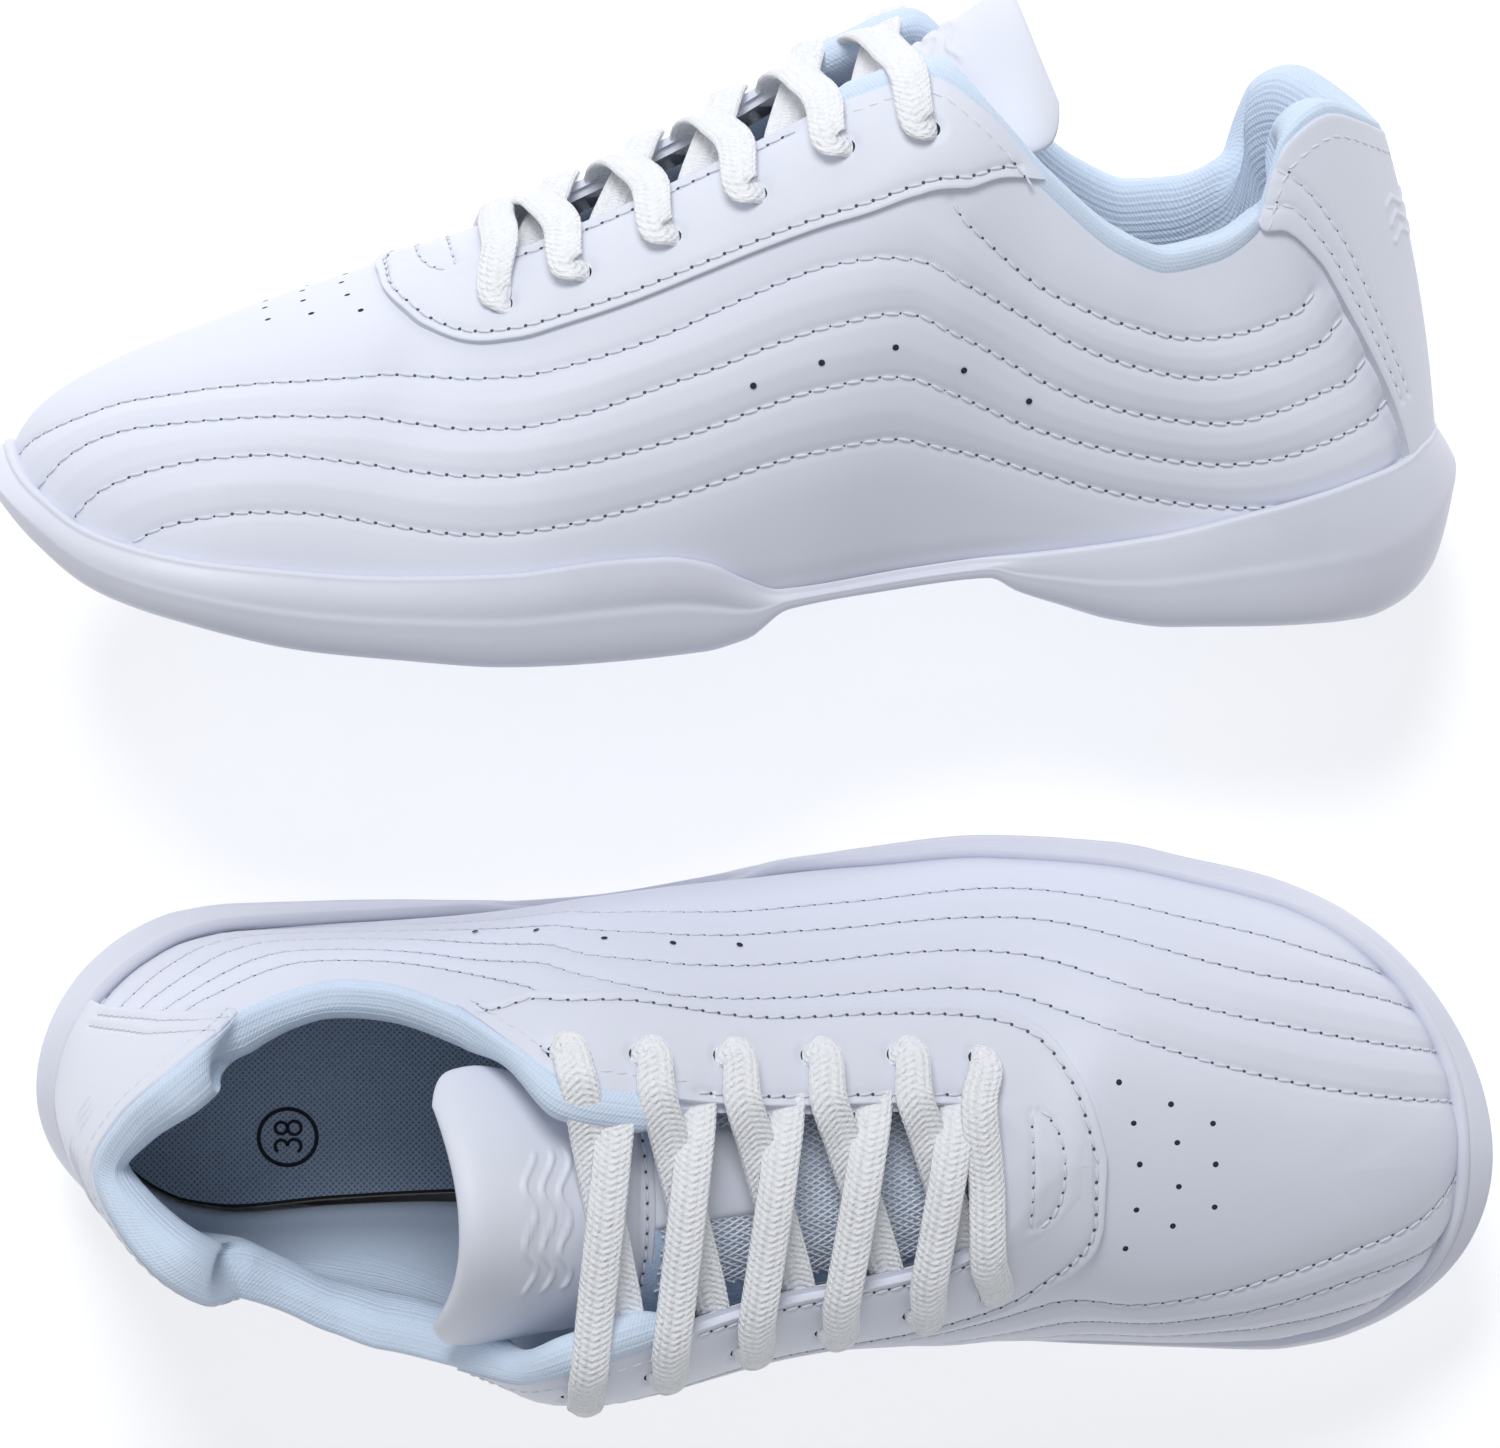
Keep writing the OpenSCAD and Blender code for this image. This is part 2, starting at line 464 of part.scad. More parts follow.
// across goes -1..1 over the width
function tongue_mid(along, across) =
    let (value = [for (c = TONGUE_CURVES) read(c, along)], bend = across * across)
    [value[0] + bend * value[4], TONGUE_Y + across * value[2], value[1] - bend * value[3]];
function tongue_point(along, across, out) =
    let (step = .01,
        length_dir = tongue_mid(bound(along + step, 0, 1), across)
            - tongue_mid(bound(along - step, 0, 1), across),
        width_dir = tongue_mid(along, across + step) - tongue_mid(along, across - step))
    tongue_mid(along, across) + out * unit(cross(width_dir, length_dir));
module tongue_sheet(alongs, acrosses, outer, inner)
    slab([for (out = [outer, inner]) for (u = alongs) for (v = acrosses)
        tongue_point(u, v, out)], len(alongs), len(acrosses));
WIDTH = [-1, -.75, -.5, -.25, 0, .25, .5, .75, 1];
FLAP = [.79, .84, .89, .94, 1];
module tongue_base() color([.6, .7, .85])
    tongue_sheet([0, .1, .2, .3, .4, .5, .6, .68, .765], WIDTH, 0, -1.4);
module tongue_patch() color([.9, .91, .95])
    tongue_sheet([.42, .5, .58], [-.15, .1, .35, .6], 1.2, .35);
module tongue_face() color([.89, .91, .96]) tongue_sheet(FLAP, WIDTH, 0, -1);
module tongue_padding() color(FOAM)
    tongue_sheet([for (u = FLAP) u * .97 + .02], WIDTH * .88, -1.5, -4.2);
module tongue_back() color(LINING) tongue_sheet(FLAP, WIDTH, -4.7, -5.5);

// ---------- lace ----------
// a flat band swept through points, its width square to the path and to ups; narrower at its ends
module strap(path, ups) {
    last = len(path) - 1;
    end = last * 4;
    points = [for (i = [0:last])
        let (along = unit(path[min(i + 1, last)] - path[max(i - 1, 0)]),
            wide = unit(cross(along, ups[i])),
            thick = cross(wide, along),
            narrow = i == 0 || i == last ? .55 : 1)
        for (c = [[-1, -.5], [-1, .5], [1, .5], [1, -.5]])
            path[i] + wide * c[0] * lace_w / 2 * narrow + thick * c[1] * lace_t];
    polyhedron(points, concat(
        quad(0, 1, 2, 3),
        [for (i = [0:last - 1]) for (c = [0:3])
            let (a = i * 4 + c, b = i * 4 + (c + 1) % 4) each quad(a, a + 4, b + 4, b)],
        quad(end, end + 3, end + 2, end + 1)));
}
function edge_point(run, side, out) = skin(run, .975, side, out);
// from under the far edge one hole nearer the toe, over this edge, and into hole i
module cross_strap(i, side) {
    far_run = mix(eye(i, -side)[0], eye(i + 1, -side)[0], side > 0 ? 1 : .98);
    near_run = mix(eye(i, side)[0], eye(i + 1, side)[0], .2);
    start = edge_point(far_run, -side, -3.4) + [0, side * 4, 0];
    edge = edge_point(near_run, side, i == 0 ? 5.2 : 4.1);
    // points between start and edge: share of the way, and lift in z
    shares = [side > 0 ? .25 : .17, .5, .72, .9];
    lifts = side > 0 ? [.4, -.3, -3.6 - i * .2, i == 4 ? 1.6 : 1]
        : [i == 4 ? 13.4 : 11, i == 4 ? 11.2 : 9.4, 5, 1.6];
    normal = eye_normal(i, side);
    strap(
        concat([start], [for (j = [0:3]) mix(start, edge, shares[j]) + [0, 0, lifts[j]]],
            [edge, eye_point(i, side, 3.1) + [1.6, 0, 0], eye_point(i, side, 2.5)]),
        concat([for (j = [0:2]) [0, 0, 1]],
            [for (lean = [.2, .3, .5]) unit([.3, side * lean, 1])], [normal, normal]));
}
// straight across between the two holes nearest the toe
module straight_strap() {
    lateral = edge_point(eye(LAST_EYE, 1)[0], 1, 4);
    medial = edge_point(eye(LAST_EYE, -1)[0], -1, 4);
    ends = [for (side = [1, -1]) eye_point(LAST_EYE, side, 2.6)];
    bends = [for (side = [1, -1]) eye_point(LAST_EYE, side, 3.4) + [0, -2 * side, .6]];
    normals = [for (side = [1, -1]) eye_normal(LAST_EYE, side)];
    strap([ends[0], bends[0], lateral, (lateral + medial) / 2 + [.8, 0, .4],
            medial + [.9, 0, -.5], bends[1], ends[1]],
        concat([normals[0], normals[0]], [for (lean = [.3, 0, -.3]) unit([.4, lean, 1])],
            [normals[1], normals[1]]));
}
module lace() color([.96, .96, .97]) {
    for (i = [0:LAST_EYE - 1]) {
        cross_strap(i, 1);
        cross_strap(i, -1);
    }
    straight_strap();
}

// ---------- the two shoes ----------
// how far the standing shoe's heel is behind the origin
rest_x = 40;
// largest y of the standing sole
standing_edge = 46;
// the tipped shoe rests on its outer side: the upward direction in its mirrored frame,
// the height of its origin, and its turn on the floor in degrees
lie_up = unit([0.09431, 0.99490, 0.03573]);
lie_h = 28.99;
lie_turn = 0.7;
// its own axes, and where each of them points in the scene
lie_from = let (forward = unit([1, 0, 0] - lie_up * lie_up[0]))
    [forward, lie_up, cross(forward, lie_up)];
lie_to = [[-cos(lie_turn), -sin(lie_turn), 0], [0, 0, 1], [-sin(lie_turn), cos(lie_turn), 0]];
LIE = [for (r = [0:2]) [for (c = [0:3]) c == 3 ? 0 :
    lie_to[0][r] * lie_from[0][c] + lie_to[1][r] * lie_from[1][c]
    + lie_to[2][r] * lie_from[2][c]]];

module left() translate([-rest_x * size, 0, 0]) scale(size) children();
module right() translate([pair_shift - rest_x, standing_edge + pair_gap, lie_h] * size)
    multmatrix(LIE) mirror([0, 1, 0]) scale(size) children();

left() heel_sole();  // left_heel_sole
left() arch_band();  // left_arch_band
left() ball_sole();  // left_ball_sole
left() toe_sole();  // left_toe_sole
left() heel_tread();  // left_heel_tread
left() ball_tread();  // left_ball_tread
left() toe_tread();  // left_toe_tread
left() shank();  // left_shank
left() insole_board();  // left_insole_board
left() toe_board();  // left_toe_board
left() sockliner();  // left_sockliner
left() sockliner_toe();  // left_sockliner_toe
left() quarter_lateral();  // left_quarter_lateral
left() quarter_medial();  // left_quarter_medial
left() vamp_flex_zone();  // left_vamp_flex_zone
left() vamp_toe();  // left_vamp_toe
left() toe_puff();  // left_toe_puff
left() eyestay();  // left_eyestay
left() heel_cover();  // left_heel_cover
left() heel_counter();  // left_heel_counter
left() collar_padding();  // left_collar_padding
left() collar_lining();  // left_collar_lining
left() quarter_lining();  // left_quarter_lining
left() tongue_base();  // left_tongue_base
left() tongue_patch();  // left_tongue_patch
left() tongue_face();  // left_tongue_face
left() tongue_padding();  // left_tongue_padding
left() tongue_back();  // left_tongue_back
left() lace();  // left_lace
right() heel_sole();  // right_heel_sole
right() arch_band();  // right_arch_band
right() ball_sole();  // right_ball_sole
right() toe_sole();  // right_toe_sole
right() heel_tread();  // right_heel_tread
right() ball_tread();  // right_ball_tread
right() toe_tread();  // right_toe_tread
right() shank();  // right_shank
right() insole_board();  // right_insole_board
right() toe_board();  // right_toe_board
right() sockliner();  // right_sockliner
right() sockliner_toe();  // right_sockliner_toe
right() quarter_lateral();  // right_quarter_lateral
right() quarter_medial();  // right_quarter_medial
right() vamp_flex_zone();  // right_vamp_flex_zone
right() vamp_toe();  // right_vamp_toe
right() toe_puff();  // right_toe_puff
right() eyestay();  // right_eyestay
right() heel_cover();  // right_heel_cover
right() heel_counter();  // right_heel_counter
right() collar_padding();  // right_collar_padding
right() collar_lining();  // right_collar_lining
right() quarter_lining();  // right_quarter_lining
right() tongue_base();  // right_tongue_base
right() tongue_patch();  // right_tongue_patch
right() tongue_face();  // right_tongue_face
right() tongue_padding();  // right_tongue_padding
right() tongue_back();  // right_tongue_back
right() lace();  // right_lace
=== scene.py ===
import math
import bpy
import numpy as np
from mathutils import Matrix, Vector
from mathutils.kdtree import KDTree


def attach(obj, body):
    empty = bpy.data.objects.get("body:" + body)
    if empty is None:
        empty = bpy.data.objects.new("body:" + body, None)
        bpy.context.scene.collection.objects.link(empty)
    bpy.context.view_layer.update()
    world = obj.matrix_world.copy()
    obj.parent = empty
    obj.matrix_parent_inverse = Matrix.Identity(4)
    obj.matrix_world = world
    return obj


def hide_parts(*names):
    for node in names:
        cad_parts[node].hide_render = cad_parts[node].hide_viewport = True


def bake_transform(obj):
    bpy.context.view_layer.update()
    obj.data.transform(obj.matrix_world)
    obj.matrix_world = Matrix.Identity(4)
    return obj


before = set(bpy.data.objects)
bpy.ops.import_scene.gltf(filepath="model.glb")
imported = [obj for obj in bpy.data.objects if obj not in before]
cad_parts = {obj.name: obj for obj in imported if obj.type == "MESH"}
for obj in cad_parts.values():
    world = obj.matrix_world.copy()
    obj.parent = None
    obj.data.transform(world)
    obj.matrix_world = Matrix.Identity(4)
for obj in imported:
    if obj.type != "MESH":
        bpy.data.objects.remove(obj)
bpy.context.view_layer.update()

# =====================================================================
# surface functions: the same ones the CAD is built from, in millimetres
# =====================================================================
PI = math.pi


def prep(T, flat=""):
    T = np.array(T, float)
    x, y = T[:, 0], T[:, 1]
    h = np.diff(x)
    d = np.diff(y) / h
    m = np.zeros(len(x))
    m[0], m[-1] = d[0], d[-1]
    for i in range(1, len(x) - 1):
        if d[i - 1] * d[i] > 0:
            a, b = 2 * h[i] + h[i - 1], h[i] + 2 * h[i - 1]
            m[i] = (a + b) / (a / d[i - 1] + b / d[i])
    if "0" in flat:
        m[0] = 0
    if "1" in flat:
        m[-1] = 0
    return x, y, m


def at(T, x):
    X, Y, M = T
    x = np.asarray(x, float)
    i = np.clip(np.searchsorted(X, x, side="right") - 1, 0, len(X) - 2)
    h = X[i + 1] - X[i]
    t = np.clip((x - X[i]) / h, 0, 1)
    t2, t3 = t * t, t * t * t
    return Y[i] * (2 * t3 - 3 * t2 + 1) + h * M[i] * (t3 - 2 * t2 + t) + Y[i + 1] * (3 * t2 - 2 * t3) + h * M[i + 1] * (t3 - t2)


def ease(t):
    u = np.clip(t, 0, 1)
    return u * u * (3 - 2 * u)


def unit(v):
    return v / np.maximum(np.linalg.norm(v, axis=-1, keepdims=True), 1e-9)


def xs(s):
    return 135 * (1 - np.cos(PI * np.asarray(s, float)))


def sx(x):
    return np.arccos(1 - np.clip(x, 0, 270) / 135) / PI


def over_s(T):
    T = np.array(T, float)
    return prep(np.stack([sx(T[:, 0]), T[:, 1]], 1), "01")


LAT = prep([[36, 33], [72, 33.5], [107, 35], [130, 39], [150, 43], [180, 46], [200, 45], [212, 42.8], [220, 41]])
MED = prep([[36, 32], [72, 29.5], [107, 29], [130, 36], [150, 42], [180, 49], [200, 50.3], [212, 50.6], [220, 50.5]])


def raw_y(x, d):
    x = np.asarray(x, float)
    r = np.clip((x - 220) / 50, 0, 1)
    heel = 32.5 * np.sqrt(np.clip(1 - ((36 - np.minimum(x, 36)) / 36) ** 2, 0, 1)) + d * .5
    toe = 45.75 * np.sqrt(np.clip(1 - r * r, 0, 1)) + d * (-4.75 - 4.75 * r)
    return d * np.where(x < 36, heel, np.where(x > 220, toe, at(LAT if d > 0 else MED, x)))


KNOTS = np.array([0, .04, .08, .12, .16, .2, .24, .3, .36, .42, .48, .54, .6, .66, .7, .74, .78, .82, .86, .9, .94, .97, 1])
OUT = {1: prep(np.stack([KNOTS, raw_y(xs(KNOTS), 1)], 1)), -1: prep(np.stack([KNOTS, raw_y(xs(KNOTS), -1)], 1))}


def both(f, s, d):
    """f(s, side) where the side is an array of +1 and -1"""
    d = np.asarray(d, float)
    s = np.asarray(s, float)
    return np.where(d > 0, f(s, 1), f(s, -1))


def out_y(s, d):
    return both(lambda a, k: at(OUT[k], a), s, d)


def out_n(s, d):
    e = .002
    a, b = np.clip(s - e, 0, 1), np.clip(s + e, 0, 1)
    t = np.stack([xs(b) - xs(a), out_y(b, d) - out_y(a, d)], -1)
    return unit(np.stack([-t[..., 1], t[..., 0]], -1)) * np.asarray(d, float)[..., None]


RIM = over_s([[0, 32], [4, 31.2], [7.8, 29.6], [20.7, 27.4], [39, 23.8], [57.7, 19.2], [70.7, 17.4], [88, 15.8], [127, 12.2],
              [134.5, 15.3], [141, 18.9], [150, 20.9], [159.5, 21], [178, 19.9], [196.5, 20.2], [224, 22.8], [242.7, 25.6],
              [253.8, 28.4], [263, 33], [270, 38]])
FEA = over_s([[0, 20.5], [20, 18.6], [39, 17], [57, 15.9], [75, 15], [88, 14.8], [107, 13], [127, 11.3], [150, 12], [180, 12.4],
              [215, 15.6], [242, 19.5], [258, 24], [270, 29]])
BOT = over_s([[0, 16], [1.3, 12], [6, 4.5], [13, 1.2], [20, 0], [55, 0], [67, 1.8], [76, 5], [83.6, 8], [89, 11], [107, 9.4],
              [126, 7.6], [133.6, 2], [141, .2], [155, 0], [178, .8], [196.5, 3], [215, 5.6], [233.5, 10.6], [252, 16.7], [261, 23],
              [267, 28.5], [270, 32.5]])
BED = over_s([[0, 18.6], [20, 17.6], [57, 15.4], [88, 14.4], [127, 11.4], [155, 11.4], [180, 12], [215, 15.2], [242, 19.2],
              [258, 23.5], [270, 28]])
INS = over_s([[0, 5.2], [14, 4.2], [36, 3.2], [70, 2.6], [107, 2.2], [150, 2.8], [200, 3.2], [250, 3.8], [270, 5]])
TILT = over_s([[0, .02], [14, .1], [36, .2], [60, .22], [90, .42], [107, .5], [130, .42], [160, .22], [200, .14], [240, .1], [270, .1]])
TOP = np.array([[0, 15, .5, .5, 87], [.03, 19.5, 10, -9, 90.5], [.06, 27, 18, -17, 94], [.09, 34.5, 23.5, -22.5, 90], [.1207, 40, 26, -25, 76],
                [.1757, 48.5, 29, -29, 71.7], [.2522, 57, 31, -33, 71], [.3043, 66, 31.5, -35, 75], [.3667, 79, 30, -35, 86.6],
                [.4164, 91, 25, -34, 100], [.44, 99, 20, -31, 105], [.4787, 112, 16.5, -27.5, 101], [.5354, 137, 11.5, -22.5, 88.5],
                [.5838, 160, 9.5, -20.5, 78], [.6268, 179, 6.5, -15.5, 70.5], [.66, 187.5, -2.2, -3.2, 69.7], [.678, 190.8, -2.85, -2.85, 68.85], [.69, 193, -3, -3, 68.2],
                [.7206, 199, -3.2, -3.2, 66], [.7709, 213, -5, -5, 62], [.8319, 226, -6.5, -6.5, 58], [.8901, 236, -7.5, -7.5, 55],
                [.95, 241, -8, -8, 53.3], [1, 243, -8, -8, 52.6]])
TOP_X, TOP_L, TOP_M, TOP_Z = [prep(TOP[:, [0, c]], "0" if c in (1, 4) else "") for c in (1, 2, 3, 4)]
BASE_PULL = np.array([[0, 1], [.5, 1], [.7, 1.15], [1, 1.25]])
TOP_PULL = np.array([[0, .8], [.25, .8], [.5, 1], [.7, 1.15], [1, 1.1]])


def vec(*c):
    return np.stack(np.broadcast_arrays(*[np.asarray(x, float) for x in c]), -1)


def mixv(a, b, k):
    return a + (b - a) * np.asarray(k)[..., None]


def rib(s, d):
    s, d = np.broadcast_arrays(np.asarray(s, float), np.asarray(d, float))
    n = out_n(s, d)
    i = at(INS, s)
    R = vec(xs(s) - n[..., 0] * i, out_y(s, d) - n[..., 1] * i, at(FEA, s))
    T = vec(at(TOP_X, s), np.where(d > 0, at(TOP_L, s), at(TOP_M, s)), at(TOP_Z, s))
    L = np.linalg.norm(T - R, axis=-1)[..., None]
    tl = at(TILT, s)
    b = unit(vec(n[..., 0] * tl, n[..., 1] * tl, 1))
    k1, k2 = ease((s - .36) / .11), ease((s - .6) / .1)
    ph = PI / 2 * np.clip((s - .7) / .3, 0, 1)
    kh = np.clip(1 - s / .12, 0, 1)
    a, e = vec(-.05, -d * .28, 1), vec(-.12, -d, .62)
    lo_, hi_ = np.clip(s - .004, 0, 1), np.clip(s + .004, 0, 1)
    g = unit(vec(at(TOP_X, hi_) - at(TOP_X, lo_), at(TOP_L, hi_) - at(TOP_L, lo_), at(TOP_Z, hi_) - at(TOP_Z, lo_)))
    c = -g * np.sin(ph)[..., None] + vec(0 * s, -d * np.cos(ph), 0 * s)
    t1 = mixv(mixv(mixv(a, e, k1), c, k2), vec(-n[..., 0] * .3, -n[..., 1] * .3, 1), kh)
    return (R, T, b * L * np.interp(s, BASE_PULL[:, 0], BASE_PULL[:, 1])[..., None],
            unit(t1) * L * np.interp(s, TOP_PULL[:, 0], TOP_PULL[:, 1])[..., None])


def on_rib(D, t):
    t = np.asarray(t, float)[..., None]
    t2, t3 = t * t, t * t * t
    return D[0] * (2 * t3 - 3 * t2 + 1) + D[2] * (t3 - 2 * t2 + t) + D[1] * (3 * t2 - 2 * t3) + D[3] * (t3 - t2)


def rib_dir(D, t):
    t = np.asarray(t, float)[..., None]
    t2 = t * t
    return D[0] * (6 * t2 - 6 * t) + D[2] * (3 * t2 - 4 * t + 1) + D[1] * (6 * t - 6 * t2) + D[3] * (3 * t2 - 2 * t)


def rib_past(s, d):
    s, d = np.broadcast_arrays(np.asarray(s, float), np.asarray(d, float))
    out = (s < 0) | (s > 1)
    return rib(np.where(s < 0, -s, np.where(s > 1, 2 - s, s)), np.where(out, -d, d))


def calm(s):
    return ease((s - .585) / .03) * ease((.77 - s) / .03)


def base_pt(s, t, d):
    """the rib surface, evened out a little round the toe end of the throat"""
    P = on_rib(rib(s, d), t)
    w = calm(s)
    if np.any(w > 0):
        A = 0
        for k, g in ((-2, .12), (-1, .23), (0, .30), (1, .23), (2, .12)):
            A = A + g * on_rib(rib(s + .0115 * k * w, d), t)
        P = P + (A - P) * w[..., None]
    return P


def normal(s, t, d):
    """outward normal of the upper; both sides agree on the crest over the toes"""
    s, t, d = np.broadcast_arrays(np.asarray(s, float), np.asarray(t, float), np.asarray(d, float))
    e = .006 + .010 * calm(s)
    tn = np.where(s > .66, np.minimum(t, .95), t)

    def one(dd):
        D = rib(s, dd)
        q = on_rib(rib_past(s + e, dd), tn) - on_rib(rib_past(s - e, dd), tn)
        return unit(np.cross(rib_dir(D, tn), q)) * dd[..., None]
    n = one(d)
    w = (ease((t - .8) / .2) * ease((s - .625) / .035))
    if np.any(w > 0):
        m = one(-d)
        n = unit(n * (1 - w[..., None] / 2) + m * (w[..., None] / 2))
    return n


def skin(s, t, d, o=0.0):
    s, t, d, o = np.broadcast_arrays(np.asarray(s, float), np.asarray(t, float), np.asarray(d, float), np.asarray(o, float))
    return base_pt(s, t, d) + o[..., None] * normal(s, t, d)


def beyond(s, t, d, o=0.0, lift=0.0):
    """like skin, but lift mm past t along the rib (t = 1 is the top edge)"""
    s, t, d, o, lift = np.broadcast_arrays(*[np.asarray(v, float) for v in (s, t, d, o, lift)])
    D = rib(s, d)
    n = normal(s, np.minimum(t, 1), d)
    return on_rib(D, np.minimum(t, 1)) + lift[..., None] * unit(rib_dir(D, np.minimum(t, 1))) + o[..., None] * n


def rim_t(s, d):
    D = rib(s, d)
    z = at(RIM, s)
    lo, hi = np.zeros_like(z), np.full_like(z, .45)
    for _ in range(14):
        m = (lo + hi) / 2
        low = on_rib(D, m)[..., 2] < z
        lo, hi = np.where(low, m, lo), np.where(low, hi, m)
    return (lo + hi) / 2


SEAM = prep([[0, .104], [.1, .104], [.3, .099], [.5, .096], [.63, .095], [.72, .098], [.81, .103], [.97, .119], [1, .1207]])
EDGE = {-1: prep([[.367, .995], [.403, .871], [.425, .783], [.444, .735], [.47, .715], [.515, .714], [.565, .704], [.605, .706],
                  [.635, .702], [.660, .706], [.684, .752], [.7015, .835], [.7125, .985]]),
        1: prep([[.367, .995], [.403, .871], [.425, .795], [.444, .763], [.47, .752], [.515, .757], [.565, .737], [.605, .729],
                 [.641, .730], [.655, .742], [.667, .765], [.680, .799], [.698, .882], [.7125, .985]])}
EYE = {1: [[.435, .93], [.476, .9], [.511, .88], [.545, .868], [.578, .866], [.611, .862]],
       -1: [[.44, .87], [.482, .87], [.517, .846], [.55, .833], [.584, .833], [.615, .81]]}

# =====================================================================
# placing: the left shoe stands, the right shoe is its mirror image on its side
# =====================================================================
REST_X = 40.0
UP = np.array([0.09431, 0.99490, 0.03573])
UP /= np.linalg.norm(UP)
LX = np.array([1.0, 0, 0]) - UP * UP[0]
LX /= np.linalg.norm(LX)
LZ = np.cross(LX, UP)
TURN = math.radians(.7)
RR = np.outer([-math.cos(TURN), -math.sin(TURN), 0], LX) + np.outer([0, 0, 1], UP) + np.outer([-math.sin(TURN), math.cos(TURN), 0], LZ)
RT = np.array([262 - REST_X, 96, 28.99])


def place(P, side):
    P = np.asarray(P, float)
    if side == "left":
        return (P - [REST_X, 0, 0]) / 1000
    return ((P * [1, -1, 1]) @ RR.T + RT) / 1000


MATS = {}
SIDES = ("left", "right")
BLENDS = {"toe": ("shoe", "forefoot", (191, 0, 30), (237, 0, 30)),
          "tongue": ("shoe", "tongue_flap", (106, 0, 100), (91, 0, 100))}


def make(name, V, F, mat, on, hides=(), smooth=True, uv=None, mats=None, fmat=None, right_v=None):
    """one piece per shoe from one set of points; on is a body, or a key of BLENDS"""
    V = np.asarray(V, float)
    out = []
    for side in SIDES:
        me = bpy.data.meshes.new(f"{side}_{name}")
        W = place(V if right_v is None or side == "left" else right_v, side)
        if isinstance(F, np.ndarray):
            G = F if side == "left" or right_v is not None else F[:, ::-1]
            k = F.shape[1]
            me.vertices.add(len(W))
            me.vertices.foreach_set("co", W.astype(np.float32).ravel())
            me.loops.add(len(G) * k)
            me.loops.foreach_set("vertex_index", G.astype(np.int32).ravel())
            me.polygons.add(len(G))
            me.polygons.foreach_set("loop_start", np.arange(0, len(G) * k, k, dtype=np.int32))
            me.update(calc_edges=True)
        else:
            me.from_pydata([tuple(p) for p in W], [], F if side == "left" else [f[::-1] for f in F])
        me.validate()
        if uv is not None:
            lay = me.uv_layers.new(name="UVMap")
            idx = np.zeros(len(me.loops), np.int32)
            me.loops.foreach_get("vertex_index", idx)
            lay.data.foreach_set("uv", np.asarray(uv, np.float32)[idx].ravel())
        me.polygons.foreach_set("use_smooth", np.full(len(me.polygons), smooth))
        ob = bpy.data.objects.new(f"{side}_{name}", me)
        bpy.context.scene.collection.objects.link(ob)
        for m in (mats or [mat]):
            me.materials.append(MATS[m])
        if fmat is not None and len(fmat) == len(me.polygons):
            me.polygons.foreach_set("material_index", np.asarray(fmat, np.int32))
        if on in BLENDS:
            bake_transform(ob)
        else:
            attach(ob, f"{side}_{on}")
        if hides:
            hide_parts(*[f"{side}_{h}" for h in hides])
        out.append(ob)
    return out


def grid_faces(n, m, flip=False, close_n=False, close_m=False, base=0):
    i = np.arange(n if close_n else n - 1)
    j = np.arange(m if close_m else m - 1)
    I, J = np.meshgrid(i, j, indexing="ij")
    I2, J2 = (I + 1) % n, (J + 1) % m
    F = np.stack([I * m + J, I2 * m + J, I2 * m + J2, I * m + J2], -1).reshape(-1, 4) + base
    return F[:, ::-1] if flip else F


def weld(V, F, tol=2e-3):
    """merge equal points; keeps quads, triangles repeat a corner"""
    key = np.round(V / tol).astype(np.int64)
    _, first, inv = np.unique(key, axis=0, return_index=True, return_inverse=True)
    inv = inv.reshape(-1)
    return V[first], inv[F], first


def clean(F):
    """quads with a repeated corner become triangles, as a python list"""
    out = []
    for f in F.tolist():
        g = [v for k, v in enumerate(f) if v != f[k - 1]]
        if len(set(g)) == len(g) and len(g) >= 3:
            out.append(g)
    return out


def outward(V, F, centre):
    """flip the winding if the faces look at the centre"""
    a, b, c = V[F[:, 0]], V[F[:, 1]], V[F[:, 2]]
    n = np.cross(b - a, c - a)
    m = (a + b + c) / 3 - centre
    return F if (n * m).sum() > 0 else F[:, ::-1]


# =====================================================================
# materials, all procedural
# =====================================================================
def material(name, color, rough, spec=.5, sheen=0.0, sub=0.0):
    m = bpy.data.materials.new(name)
    m.use_nodes = True
    nt = m.node_tree
    b = nt.nodes["Principled BSDF"]
    b.inputs["Base Color"].default_value = (*color, 1)
    b.inputs["Roughness"].default_value = rough
    b.inputs["Specular IOR Level"].default_value = spec
    if sheen:
        b.inputs["Sheen Weight"].default_value = sheen
        b.inputs["Sheen Roughness"].default_value = .5
    if sub:
        b.inputs["Subsurface Weight"].default_value = sub
        b.inputs["Subsurface Radius"].default_value = (.002, .002, .0024)
        b.inputs["Subsurface Scale"].default_value = 1.0
    MATS[name] = m
    return m, nt, b


def node(nt, kind, **kw):
    n = nt.nodes.new(kind)
    for k, v in kw.items():
        if k.startswith("in_"):
            n.inputs[k[3:].replace("_", " ")].default_value = v
        else:
            setattr(n, k, v)
    return n


def bump(nt, b, height, strength, distance):
    n = node(nt, "ShaderNodeBump")
    n.inputs["Strength"].default_value = strength
    n.inputs["Distance"].default_value = distance
    nt.links.new(height, n.inputs["Height"])
    prev = b.inputs["Normal"].links
    if prev:
        nt.links.new(prev[0].from_socket, n.inputs["Normal"])
    nt.links.new(n.outputs["Normal"], b.inputs["Normal"])
    return n


def maths(nt, op, a, b=None, c=None):
    n = node(nt, "ShaderNodeMath", operation=op)
    for k, v in enumerate((a, b, c)):
        if v is None:
            continue
        if isinstance(v, (int, float)):
            n.inputs[k].default_value = v
        else:
            nt.links.new(v, n.inputs[k])
    return n.outputs[0]


def tex(nt, kind, scale, coord="Object", **kw):
    c = node(nt, "ShaderNodeTexCoord")
    t = node(nt, kind, **kw)
    t.inputs["Scale"].default_value = scale
    nt.links.new(c.outputs[coord], t.inputs["Vector"])
    return t


